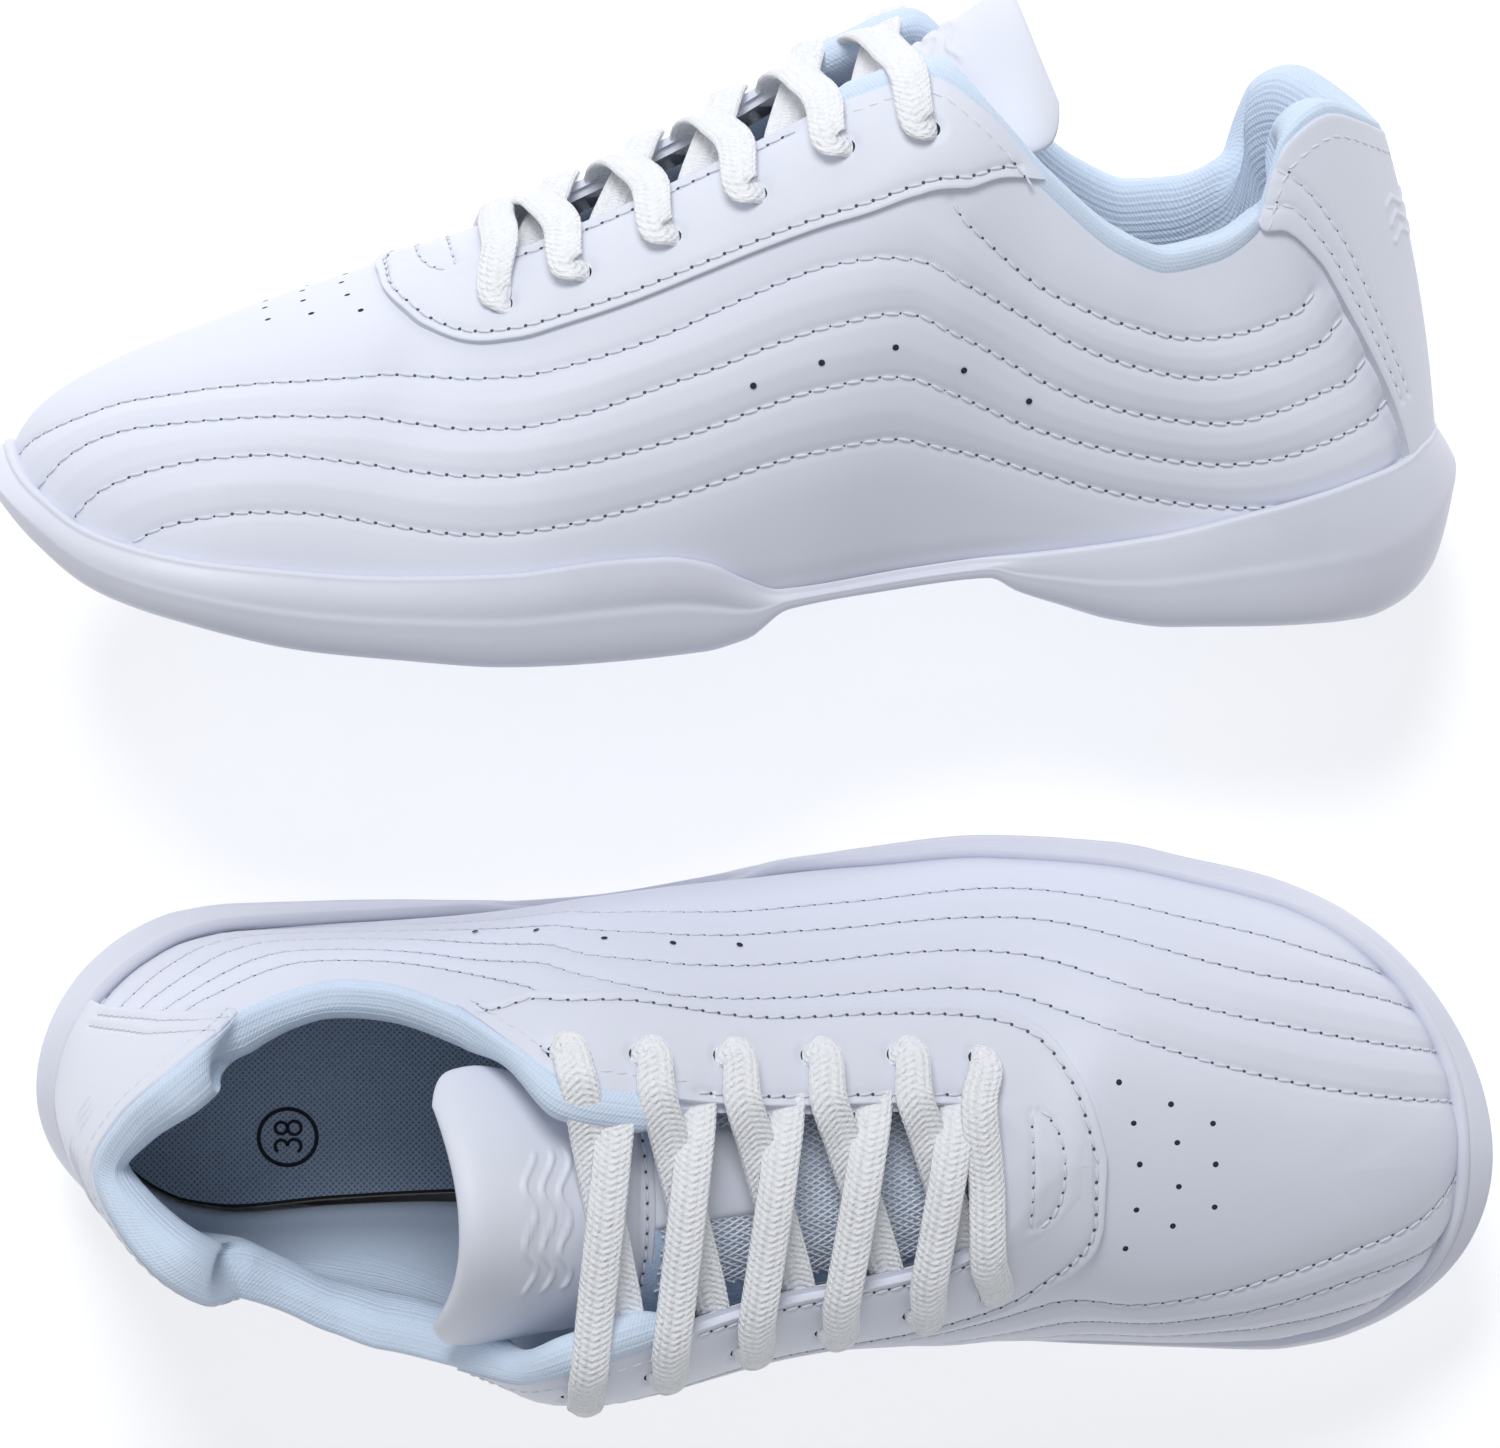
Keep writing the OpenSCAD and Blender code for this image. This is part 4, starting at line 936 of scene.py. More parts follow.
# widen the free part a little, then let it relax between its fixed edges
for _ in range(3):
    Fp = np.pad(free, 1, mode="edge")
    free = Fp[:-2, 1:-1] | Fp[2:, 1:-1] | Fp[1:-1, :-2] | Fp[1:-1, 2:] | free
free[:6] |= free[6]
for k in range(900):
    Zp = np.pad(Zm, 1, mode="edge")
    Zn = (Zp[:-2, 1:-1] + Zp[2:, 1:-1] + Zp[1:-1, :-2] + Zp[1:-1, 2:]) / 4
    Zm = np.where(free, Zn, Zm)
crown = np.exp(-((YB + 3.4) / 7) ** 2) * ease((191 - XB) / 9) * .5
Zm = Zm + crown * free
for _ in range(14):
    Zp = np.pad(Zm, 1, mode="edge")
    Zm = (Zp[:-2, 1:-1] + Zp[2:, 1:-1] + Zp[1:-1, :-2] + Zp[1:-1, 2:] + 2 * Zm) / 6
ZB = Zm + .13 - .5 * (1 - ease(rimw)) + dz_front[:, None]
ZI = ZB - dz_front[:, None]
gx = np.gradient(ZB[5:], axis=0)
br = np.stack([XB, YB, ZB], -1)
# the D of stitches: a straight row across, and an arc on its toe side
bar = np.array([(184.4 - .5 * a * a, -3.6 + a * 11.0) for a in np.linspace(-1, 1, 60)])
arc = np.array([(184.6 + 5.6 * math.sqrt(max(0, 1 - abs(a) ** 2.2)), -3.6 + a * 11.0) for a in np.linspace(-.99, .99, 80)])
dl = dist_to(np.stack([br[..., 0].ravel(), br[..., 1].ravel(), 0 * br[..., 0].ravel()], 1),
             [np.column_stack([q, np.zeros(len(q))]) for q in (bar, arc)]).reshape(XB.shape)
br[..., 2] -= .34 * np.exp(-(dl / .8) ** 2)
n, m_ = XB.shape
V = br.reshape(-1, 3)
F = grid_faces(n, m_)
q = F[(30) * (m_ - 1) + 40]
if np.cross(V[q[1]] - V[q[0]], V[q[2]] - V[q[0]])[2] < 0:
    F = F[:, ::-1]
make("throat_bridge", V, F.copy(), "overlay_leather", "toe")


def on_bridge(x, y):
    """height of the bridge sheet over (x, y), by walking its own grid back"""
    u, v, _ = bridge_uv(x, y)
    i = np.clip(u * 69 + 5, 5, 73.999)
    j = np.clip((v + 1) / 2 * 89, 0, 88.999)
    a, b = i.astype(int), j.astype(int)
    f, g = i - a, j - b
    return (ZI[a, b] * (1 - f) * (1 - g) + ZI[a + 1, b] * f * (1 - g) + ZI[a, b + 1] * (1 - f) * g + ZI[a + 1, b + 1] * f * g)


for line in (bar, arc):
    P = np.column_stack([line, on_bridge(line[:, 0], line[:, 1]) - .26])
    e = .3
    gxx = (on_bridge(line[:, 0] + e, line[:, 1]) - on_bridge(line[:, 0] - e, line[:, 1])) / (2 * e)
    gyy = (on_bridge(line[:, 0], line[:, 1] + e) - on_bridge(line[:, 0], line[:, 1] - e)) / (2 * e)
    Nn = unit(np.stack([-gxx, -gyy, np.ones_like(gxx)], 1))
    L = np.concatenate([[0], np.cumsum(np.linalg.norm(np.diff(P, axis=0), axis=1))])
    k = int(L[-1] / 2.6)
    u = (np.arange(k) + .5) * L[-1] / k
    Pq = np.stack([np.interp(u, L, P[:, c]) for c in range(3)], 1)
    Nq = unit(np.stack([np.interp(u, L, Nn[:, c]) for c in range(3)], 1))
    Tq = unit(np.stack([np.interp(np.clip(u + .5, 0, L[-1]), L, P[:, c]) - np.interp(np.clip(u - .5, 0, L[-1]), L, P[:, c]) for c in range(3)], 1))
    sew(Pq, Nq, Tq, L[-1] / k, "toe", length=.8, r=.28, up=.08, hole=.28)

# =====================================================================
# the heel cover
# =====================================================================
NU, NV = (90, 60) if Q else (220, 170)
uu = np.concatenate([[-1.0] * 5, np.linspace(-1, 1, NU), [1.0] * 5])
drop = np.concatenate([[-1.6, -.7, .0, .6, 1.1], np.full(NU, 1.55), [1.1, .6, .0, -.7, -1.6]])
drop[5:8] = [1.32, 1.45, 1.52]
drop[-8:-5] = [1.52, 1.45, 1.32]
fv = np.concatenate([np.linspace(0, 1, NV), np.full(5, 1.0)])
UU, FV = np.meshgrid(uu, fv, indexing="ij")
DD = np.minimum(drop[:, None], np.concatenate([np.full(NV - 3, 1.55), [1.53, 1.47, 1.36, 1.1, .7, .2, -.4, -1.2]])[None])
t0 = rim_t(np.abs(UU) * .1, np.where(UU < 0, -1.0, 1.0)) - .03
TTh = t0 + (.987 - t0) * FV
SSh = np.abs(UU) * at(SEAM, TTh)
DDs = np.where(UU < 0, -1.0, 1.0)
Ph = skin(SSh, TTh, DDs)
Nh = normal(SSh, TTh, DDs)
heel_lines = []
for d in (1.0, -1.0):
    for ds in (.0085, .0200):
        t = np.linspace(.27, .975, 200)
        heel_lines.append((at(SEAM, t) - ds, t, d))
near = dist_to(Ph.reshape(-1, 3), [skin(a, b, d) for a, b, d in heel_lines]).reshape(UU.shape)
Dh = DD - .35 * np.exp(-(near / .75) ** 2) * (DD > 1)
for k in range(3):
    zl = 68.5 + 3.0 * k + .8 * np.sin(Ph[..., 1] * 2 * PI / 7.5 + .6 * k)
    Dh = Dh + .32 * np.exp(-((Ph[..., 2] - zl) / .62) ** 4) * ease((10.5 - np.abs(Ph[..., 1])) / 1.2) * (np.abs(UU) < .9) * (DD > 1.5)
Vh = Ph + Nh * Dh[..., None]
n, m_ = UU.shape
F = grid_faces(n, m_)
lab = (np.tile(np.arange(n - 1)[:, None], (1, m_ - 1)))
lab = ((lab < 5) | (lab >= n - 6)).astype(int).ravel()
V = Vh.reshape(-1, 3)
c_ = outward(V, F, np.array([45.0, 0, 55]))
make("heel_overlay", V, c_.copy(), "overlay_leather", "shoe", hides=("heel_cover",),
     mats=["overlay_leather", "cut_edge"], fmat=lab)
for a, b, d in heel_lines:
    pts, nn, tt, st = space(a, b, d, 1.22, 3.0)
    sew(pts, nn, tt, st, "shoe", length=.76, r=.28, up=.10, hole=.26)

# =====================================================================
# the collar: a padded roll of ribbed lining, going down inside to the footbed
# =====================================================================
PROF_C = np.array([(-3.0, -.2), (-1.3, .75), (.2, 1.1), (1.5, .5), (2.2, -1.2), (2.5, -2.8), (2.1, -4.6), (.7, -6.3), (-2, -7.7), (-5.5, -8.4),
                   (-9.5, -8.4), (-13.5, -7.7), (-17.5, -6.5), (-21.5, -5.2), (-26, -4.3), (-31, -3.9), (-40, -3.75), (-50, -3.7)])
PROF_T = np.array([(-3.0, .9), (-1.2, 1.7), (.4, 2.1), (2.0, 1.9), (3.6, 1.1), (4.7, -.2), (4.9, -1.8), (4.2, -3.1), (2.6, -4.0), (.6, -4.4),
                   (-2, -4.5), (-4.5, -4.5), (-7, -4.5), (-9.5, -4.5), (-12, -4.5), (-14.5, -4.5), (-17, -4.5), (-20, -4.5)])


def profile(P, n):
    L = np.concatenate([[0], np.cumsum(np.linalg.norm(np.diff(P, axis=0), axis=1))])
    u = np.linspace(0, 1, n) ** 1.0 * L[-1]
    return np.stack([at(prep(np.stack([L, P[:, 0]], 1)), u), at(prep(np.stack([L, P[:, 1]], 1)), u)], 1), u


NP_ = 90 if Q else 190
pc, lc = profile(PROF_C, NP_)
pt, lt = profile(PROF_T, NP_)
NC = 150 if Q else 330
sc = np.linspace(-.502, .502, NC)
SC, JC = np.meshgrid(sc, np.arange(NP_), indexing="ij")
A = np.abs(SC)
dC = np.where(SC < 0, -1.0, 1.0)
kT = ease((A - .375) / .06)
lift = pc[JC, 0] * (1 - kT) + pt[JC, 0] * kT
off = pc[JC, 1] * (1 - kT) + pt[JC, 1] * kT
along = lc[JC] * (1 - kT) + lt[JC] * kT
# ankle pads each side of the heel, and a notch at the very back
pad = 1.3 * np.exp(-((A - .082) / .042) ** 2) - 2.0 * np.exp(-(A / .03) ** 2) - .7 * np.exp(-((A - .2) / .06) ** 2)
inner = ease((-off - 1.5) / 4) * (1 - kT)
off = off - pad * inner
# the roll's ends taper under the eyestay
end = ease((.502 - A) / .02)
off = off * (.35 + .65 * end) - 1.2 * (1 - end)
lift = np.where(lift > 0, lift * (.2 + .8 * end), lift)
# ribs run along the collar
rib_h = (.035 + .085 * ease((along - 7) / 7) * (1 - kT)) * np.cos(2 * PI * along / 1.25) * ease((along - 1.0) / 2)
Lr = np.linalg.norm(rib_dir(rib(A, dC), 1.0), axis=-1)
tC = np.minimum(1.0, 1 + lift / Lr)
liftC = np.maximum(lift, 0)
Pc = beyond(A, tC, dC, off, liftC)
# normals from the grid itself
g0 = np.gradient(Pc, axis=0)
g1 = np.gradient(Pc, axis=1)
Nc = unit(np.cross(g0, g1))
mid_n = Nc[NC // 4, 4] @ normal(abs(sc[NC // 4]), .98, np.sign(sc[NC // 4]))
if mid_n < 0:
    Nc = -Nc
Pc = Pc + Nc * rib_h[..., None]
arc_s = np.concatenate([[0], np.cumsum(np.linalg.norm(np.diff(Pc[:, 8], axis=0), axis=1))])
UVc = np.stack([np.broadcast_to(arc_s[:, None], A.shape), along], -1).reshape(-1, 2)
F = grid_faces(NC, NP_)
V = Pc.reshape(-1, 3)
fn = np.cross(V[F[0, 1]] - V[F[0, 0]], V[F[0, 2]] - V[F[0, 0]])
q = F[(NC // 4) * (NP_ - 1) + 3]
fn = np.cross(V[q[1]] - V[q[0]], V[q[2]] - V[q[0]])
if fn @ Nc[NC // 4, 4] < 0:
    F = F[:, ::-1]
make("collar_roll", V, F.copy(), "lining", "shoe", hides=("collar_lining", "collar_padding"), uv=UVc)
# stitches just outside the fabric, through the leather
for d in (1.0, -1.0):
    s = np.linspace(.004, .50, 900)
    L = np.linalg.norm(rib_dir(rib(s, np.full_like(s, d)), 1.0), axis=-1)
    on_over = (s < at(SEAM, .97)) | (s > .372)
    t = 1 - 4.9 / L
    o = np.where(on_over, 1.45, -.35)
    for a_, b_ in ((.004, .1135), (.127, .357), (.379, .50)):
        k = (s > a_) & (s < b_)
        pts, nn, tt, st = space(s[k], t[k], d, o[k], 2.9)
        sew(pts, nn, tt, st, "shoe", length=.72, r=.28, up=.08, hole=.30)

# lining further in: the inside of the quarters and the vamp
si = np.linspace(0, .70, 90)
ti = np.linspace(.02, .965, 30)
Si, Ti = np.meshgrid(si, ti, indexing="ij")
vs, fs, uvs = [], [], []
for k, d in enumerate((1.0, -1.0)):
    kk = ease((Si - .36) / .04)
    tmax = .56 + (.965 - .56) * kk
    Tq = .02 + (tmax - .02) * (Ti - .02) / .945
    P = skin(Si, Tq, d, -3.85 + .05 * kk - 1.0 * ease((.11 - Tq) / .07))
    vs.append(P.reshape(-1, 3))
    g = grid_faces(90, 30)
    fs.append((g if d > 0 else g[:, ::-1]) + k * 90 * 30)
    uvs.append(np.stack([xs(Si), Ti * 100], -1).reshape(-1, 2))
V, F = np.concatenate(vs), np.concatenate(fs)
uvi = np.concatenate(uvs)
make("quarter_lining_sheet", V, F.copy(), "lining", "shoe", hides=("quarter_lining",), uv=uvi)

# =====================================================================
# the sole: one smooth moulded shape with heel unit, thin arch and forefoot unit
# =====================================================================
NSO = 200 if Q else 380
so = np.linspace(0, 1, NSO)


def sole_profile(s, d):
    """rows of points from the bottom's inner line, round the side wall, over the rim and down behind it"""
    n2 = out_n(s, d)
    yo = out_y(s, d)
    z0, z1 = at(BOT, s) + .5, at(RIM, s)
    H = z1 - z0
    rt = rim_t(s, d)
    rim = skin(s, rt, d, 0.0)
    rn = normal(s, rt, d)
    nh = unit(rn[..., :2])

    def on_out(i, f):
        x = xs(s) - n2[..., 0] * i
        y = yo - n2[..., 1] * i
        zb = at(BOT, sx(x)) + .5
        return vec(x, y, zb + (z1 - zb) * f)

    def on_rim(o, dz):
        o = np.asarray(o) * np.ones_like(z1)
        return vec(rim[..., 0] + nh[..., 0] * o, rim[..., 1] + nh[..., 1] * o, z1 + dz)
    small = np.clip(H / 14, .25, 1)
    x = xs(s)
    heel = ease((92 - x) / 12)
    rows = [on_out(8.5 * small + 1.5, 0), on_out(6.2 * small + .8, .0), on_out(4.4 * small + .3, .035), on_out(2.9 * small, .10),
            on_out(1.65 * small, .20), on_out(.8 * small, .315), on_out(.25 * small + .05, .425), on_out(0.0, .50), on_out(0.05, .565)]
    lip = 2.1 - 1.1 * ease((x - 80) / 14) * ease((140 - x) / 12)
    top = on_rim(lip, -1.0)
    w = on_out(.05, .565)
    for f in (.22, .44, .66, .84):
        b = w + (top - w) * f
        bulge = (.30 + .25 * (1 - heel)) * math.sin(PI * f) * small
        b = b + np.concatenate([n2 * (bulge * (1 - .35 * heel))[..., None], np.zeros_like(n2[..., :1])], -1)
        rows.append(b)
    rows += [on_rim(lip + .02, -1.05), on_rim(lip - .10, -.45), on_rim(lip * .78, -.08), on_rim(lip * .55, .03), on_rim(lip * .28, -.10), on_rim(-.05, -.5),
             on_rim(-.7, -1.4), on_rim(-1.8, -3.5)]
    return np.stack(rows, -2)


def spline_rows(R, n, keep):
    """resample rows of control points into smooth curves; keep = sample positions along the row index"""
    k = R.shape[-2]
    idx = np.arange(k, dtype=float)
    # Catmull-Rom by chord index
    u = keep
    i = np.clip(np.floor(u).astype(int), 0, k - 2)
    f = (u - i)[:, None]
    p0, p1, p2, p3 = R[..., np.maximum(i - 1, 0), :], R[..., i, :], R[..., i + 1, :], R[..., np.minimum(i + 2, k - 1), :]
    return .5 * (2 * p1 + (p2 - p0) * f + (2 * p0 - 5 * p1 + 4 * p2 - p3) * f ** 2 + (3 * p1 - p0 - 3 * p2 + p3) * f ** 3)


keep = np.linspace(0, 20, 61 if not Q else 41)
walls = []
for d in (1.0, -1.0):
    R = sole_profile(so, np.full_like(so, d))
    walls.append(spline_rows(R, 0, keep))
WL, WM = walls
nb = 40 if Q else 110
fb = np.linspace(0, 1, nb)
bottom = WL[:, :1] * (1 - fb)[None, :, None] + WM[:, :1] * fb[None, :, None]
# tread pads stand 0.5 mm below the moulding, with sipes across them
bx, by, bz = bottom[..., 0], bottom[..., 1], bottom[..., 2]
half = np.minimum(fb, 1 - fb)[None, :] * np.linalg.norm(WL[:, 0] - WM[:, 0], axis=1)[:, None]


def in_pad(x, a, b):
    return ease((x - a) / .8) * ease((b - x) / .8)


padz = (in_pad(bx, 14, 60) + in_pad(bx, 140, 184) + in_pad(bx, 212, 250)) * ease((half - .6) / .7)
sipe = np.zeros_like(bx)
for a, b, p0 in ((22, 55, 22), (146, 181, 146), (218, 246, 218)):
    ph = ((bx - p0 + 3) % 6) - 3
    gx = np.exp(-(ph / .75) ** 4) * (bx > a - 2) * (bx < b + 2)
    wav = np.abs(np.abs(by) - 13 - .0 * bx)
    sipe = np.maximum(sipe, gx * ease((9.5 - wav) / .8))
bottom = bottom - np.stack([0 * bx, 0 * bx, .5 * padz - 1.3 * sipe * padz], -1)
kq = WL.shape[1]
V = np.concatenate([WL.reshape(-1, 3), WM.reshape(-1, 3), bottom.reshape(-1, 3)])
o1, o2 = NSO * kq, 2 * NSO * kq
Fa = grid_faces(NSO, kq)
F = np.concatenate([Fa, Fa[:, ::-1] + o1, grid_faces(NSO, nb)[:, ::-1] + o2])
V, F, _ = weld(V, F, .004)
F = clean(F)
if not check_outward(V, F):
    F = [f[::-1] for f in F]
make("sole_moulding", V, F, "sole", "toe",
     hides=("heel_sole", "arch_band", "ball_sole", "toe_sole", "heel_tread", "ball_tread", "toe_tread"))

# =====================================================================
# the sockliner: lattice-woven cloth over foam, with a dark edge
# =====================================================================
def sock(name, s0, s1, node_name, body, inset):
    n1, n2 = 200, 70
    s = np.linspace(s0, s1, n1)
    v = np.linspace(0, 1, n2)
    pts = {}
    for d in (1.0, -1.0):
        nn = out_n(s, np.full_like(s, d))
        ins = inset + 2.4 * np.exp(-(s / .12) ** 2)
        pts[d] = np.stack([xs(s) - nn[:, 0] * ins, out_y(s, np.full_like(s, d)) - nn[:, 1] * ins], -1)
    XY = pts[1.0][:, None] * (1 - v)[None, :, None] + pts[-1.0][:, None] * v[None, :, None]
    half = np.minimum(v, 1 - v)[None] * np.linalg.norm(pts[1.0] - pts[-1.0], axis=1)[:, None]
    arc = np.abs(np.stack([XY[..., 0] - XY[0, 0, 0], XY[-1, 0, 0] - XY[..., 0]])).min(0)
    z = at(BED, sx(XY[..., 0])) + 5.0 + 1.1 * np.exp(-(half / 3) ** 2) - .5 * np.exp(-(half / .8) ** 2)
    P = np.concatenate([XY, z[..., None]], -1)
    low = P.copy()
    low[..., 2] = at(BED, sx(XY[..., 0])) + 1.7
    V = np.concatenate([P.reshape(-1, 3), low.reshape(-1, 3)])
    F = grid_faces(n1, n2)[:, ::-1]
    k = n1 * n2
    rim = []
    ring = [i * n2 for i in range(n1)] + [(n1 - 1) * n2 + j for j in range(1, n2)] + [i * n2 + n2 - 1 for i in range(n1 - 2, -1, -1)] + [j for j in range(n2 - 2, 0, -1)]
    for a, b in zip(ring, ring[1:] + ring[:1]):
        rim.append([a, b, b + k, a + k])
    hh = (half[:-1, :-1] + half[1:, 1:]) / 2
    lab = np.concatenate([(hh < .55).astype(int).ravel(), np.zeros(len(F), int), np.ones(len(rim), int)])
    Fall = np.concatenate([F, F[:, ::-1] + k, np.array(rim)])
    # the top must look up
    a, b, c = V[F[500][0]], V[F[500][1]], V[F[500][2]]
    if np.cross(b - a, c - a)[2] < 0:
        Fall = Fall[:, ::-1]
    UV = np.concatenate([XY.reshape(-1, 2), XY.reshape(-1, 2)])
    make(name, V, Fall.copy(), "sockliner", body, hides=(node_name,), uv=UV, mats=["sockliner", "sock_edge"], fmat=lab)


sock("sockliner_cloth", .05, float(sx(199)), "sockliner", "sockliner", 9.2)
sock("sockliner_toe_cloth", float(sx(210)), .955, "sockliner_toe", "forefoot", 9.0)

# the size mark: a ring and two numerals, printed on the cloth
def ribbon(path, width, close=False):
    P = np.array(path, float)
    Tn = np.gradient(P, axis=0) if not close else np.roll(P, -1, 0) - np.roll(P, 1, 0)
    Tn /= np.maximum(np.linalg.norm(Tn, axis=1, keepdims=True), 1e-9)
    Nn = np.stack([-Tn[:, 1], Tn[:, 0]], 1)
    a, b = P + Nn * width / 2, P - Nn * width / 2
    V = np.concatenate([a, b])
    k = len(P)
    F = [[i, (i + 1) % k, k + (i + 1) % k, k + i] for i in range(k if close else k - 1)]
    return V, F


def circle(cx, cy, rx, ry, a0=0, a1=360, n=40):
    a = np.radians(np.linspace(a0, a1, n, endpoint=abs(a1 - a0) < 359.9))
    return [(cx + rx * math.cos(t), cy + ry * math.sin(t)) for t in a]


ink = [ribbon(circle(0, 0, 5.4, 5.4, n=64), .75, True)]
# 3: two bowls open to the left; 8: two rings. x is the reading direction, y is up
ink += [ribbon(circle(-1.75, 1.2, 1.2, 1.15, 150, -90, 22), .62), ribbon(circle(-1.75, -1.2, 1.3, 1.25, 90, -150, 24), .62)]
ink += [ribbon(circle(1.75, 1.2, 1.12, 1.12, n=28), .6, True), ribbon(circle(1.75, -1.25, 1.3, 1.25, n=28), .6, True)]
Vi, Fi, c0 = [], [], 0
for v, f in ink:
    Vi.append(v)
    Fi += [[a + c0 for a in q] for q in f]
    c0 += len(v)
Vi = np.concatenate(Vi)
X, Y = 46.5 - Vi[:, 1], -9.5 + Vi[:, 0]
Z = at(BED, sx(X)) + 5.0 + .12
V = np.stack([X, Y, Z], 1)
F = np.array(Fi)
a, b, c = V[F[0][0]], V[F[0][1]], V[F[0][2]]
if np.cross(b - a, c - a)[2] < 0:
    F = F[:, ::-1]
V_r = V.copy()
V_r[:, 1] = -19.0 - V[:, 1]
make("size_mark", V, F.copy(), "ink", "sockliner", right_v=V_r)

# =====================================================================
# the tongue
# =====================================================================
TG = np.array([[0, 184, 64.5, 10, 2.5, 0], [.2, 160, 73, 18, 6, 0], [.4, 138, 82.5, 21, 8.5, 0], [.6, 116, 94, 24, 10.5, -3],
               [.75, 101, 102.2, 25.5, 13, -6], [.88, 91.5, 108.8, 27.5, 18.5, -9], [1, 82.5, 115.6, 26, 22, -9]])
TGP = [prep(TG[:, [0, c]]) for c in (1, 2, 3, 4, 5)]


def tongue(u, v):
    x, z, w, dr, sw = [at(p, u) for p in TGP]
    return vec(x + v * v * sw, -5 + v * w, z - v * v * dr)


def tongue_o(u, v, o):
    u, v, o = np.broadcast_arrays(*[np.asarray(q, float) for q in (u, v, o)])
    e = .01
    a = tongue(np.clip(u + e, 0, 1), v) - tongue(np.clip(u - e, 0, 1), v)
    b = tongue(u, v + e) - tongue(u, v - e)
    nn = unit(np.cross(b, a))
    return tongue(u, v) + o[..., None] * nn, nn


# padded flap from the stitched seam at x = 116 to the tip, one closed rounded form
NU, NVv = (60, 60) if Q else (170, 150)
ut = np.linspace(.60, 1.0, NU)
th = np.linspace(0, 2 * PI, 2 * NVv, endpoint=False)
vv = np.cos(th)
sgn = np.sin(th)
U2, TH = np.meshgrid(ut, th, indexing="ij")
vv2 = np.sign(np.cos(TH)) * np.abs(np.cos(TH)) ** .75
prof = np.abs(np.sin(TH)) ** .55 * np.sign(np.sin(TH))
thick = (1.2 + 1.9 * ease((U2 - .62) / .1)) * np.sqrt(np.clip(1 - ((U2 - .925) / .075).clip(0, 1) ** 2.4, 0.0, 1)) + .05
offs = prof * thick - 2.2
# generic wave relief on the face, under the top lacing
base_x, base_y = tongue(U2, vv2)[..., 0], tongue(U2, vv2)[..., 1]
emb = np.zeros_like(U2)
for k in range(3):
    line = 92.6 + 3.1 * k + 1.0 * np.sin((base_y + 5) * 2 * PI / 10 + k * .6)
    dd = np.abs(base_x - line)
    emb = np.maximum(emb, np.exp(-(dd / .55) ** 4) * ease((13 - np.abs(base_y + 5)) / 1.5))
top_side = np.sin(TH) > .2
seam = np.exp(-((base_x - 113.6) / .7) ** 2) * top_side
offs = offs + .45 * emb * top_side - .4 * seam + .5 * top_side * ease((.95 - U2) / .1) * (1 - vv2 ** 2)
Pt, _ = tongue_o(U2, vv2 * (.985 - .13 * ((U2 - .92) / .08).clip(0, 1) ** 3), offs)
n, m_ = U2.shape
F = grid_faces(n, m_, close_m=True)
V = Pt.reshape(-1, 3)
caps = []
for row in (0, n - 1):
    for j in range(m_ // 2):
        q = [row * m_ + j, row * m_ + j + 1, row * m_ + (m_ - j - 1) % m_, row * m_ + (m_ - j) % m_]
        q = [v for k, v in enumerate(q) if v != q[k - 1]]
        caps.append(q if row == 0 else q[::-1])
Fl = F.tolist() + caps
# wind it outwards
a, b, c = [V[F[0][k]] for k in range(3)]
ctr = Pt[0].mean(0)
if np.cross(b - a, c - a) @ ((a + b + c) / 3 - ctr) < 0:
    Fl = [f[::-1] for f in Fl]
make("tongue_flap_soft", V, Fl, "overlay_leather", "tongue", hides=("tongue_face", "tongue_padding", "tongue_back"))
vline = np.linspace(-.82, .82, 200)
uline = np.full_like(vline, .615)
P, Nn = tongue_o(uline, vline, 0.0)
L = np.concatenate([[0], np.cumsum(np.linalg.norm(np.diff(P, axis=0), axis=1))])
k = int(L[-1] / 2.8)
uq = (np.arange(k) + .5) * L[-1] / k
Pq = np.stack([np.interp(uq, L, P[:, c]) for c in range(3)], 1)
Nq = unit(np.stack([np.interp(uq, L, Nn[:, c]) for c in range(3)], 1))
Tq = unit(np.stack([np.interp(np.clip(uq + .5, 0, L[-1]), L, P[:, c]) - np.interp(np.clip(uq - .5, 0, L[-1]), L, P[:, c]) for c in range(3)], 1))
sew(Pq - Nq * .2, Nq, Tq, L[-1] / k, "shoe", length=.75, r=.28, up=.1, hole=.3)

# the mesh part under the laces: a base cloth and a lattice of strands
ub = np.linspace(0, .615, 90)
vb = np.linspace(-1.1, 1.1, 40)
UB, VB = np.meshgrid(ub, vb, indexing="ij")
Pb, Nb = tongue_o(UB, VB, -.6)
Pl, _ = tongue_o(UB, VB, -1.8)
g = grid_faces(90, 40)
V = np.concatenate([Pb.reshape(-1, 3), Pl.reshape(-1, 3)])
a, b, c = [V[g[100][k]] for k in range(3)]
if np.cross(b - a, c - a)[2] < 0:
    g = g[:, ::-1]
make("tongue_cloth", V, np.concatenate([g, g[:, ::-1] + 90 * 40]).copy(), "mesh_base", "shoe", hides=("tongue_base",))
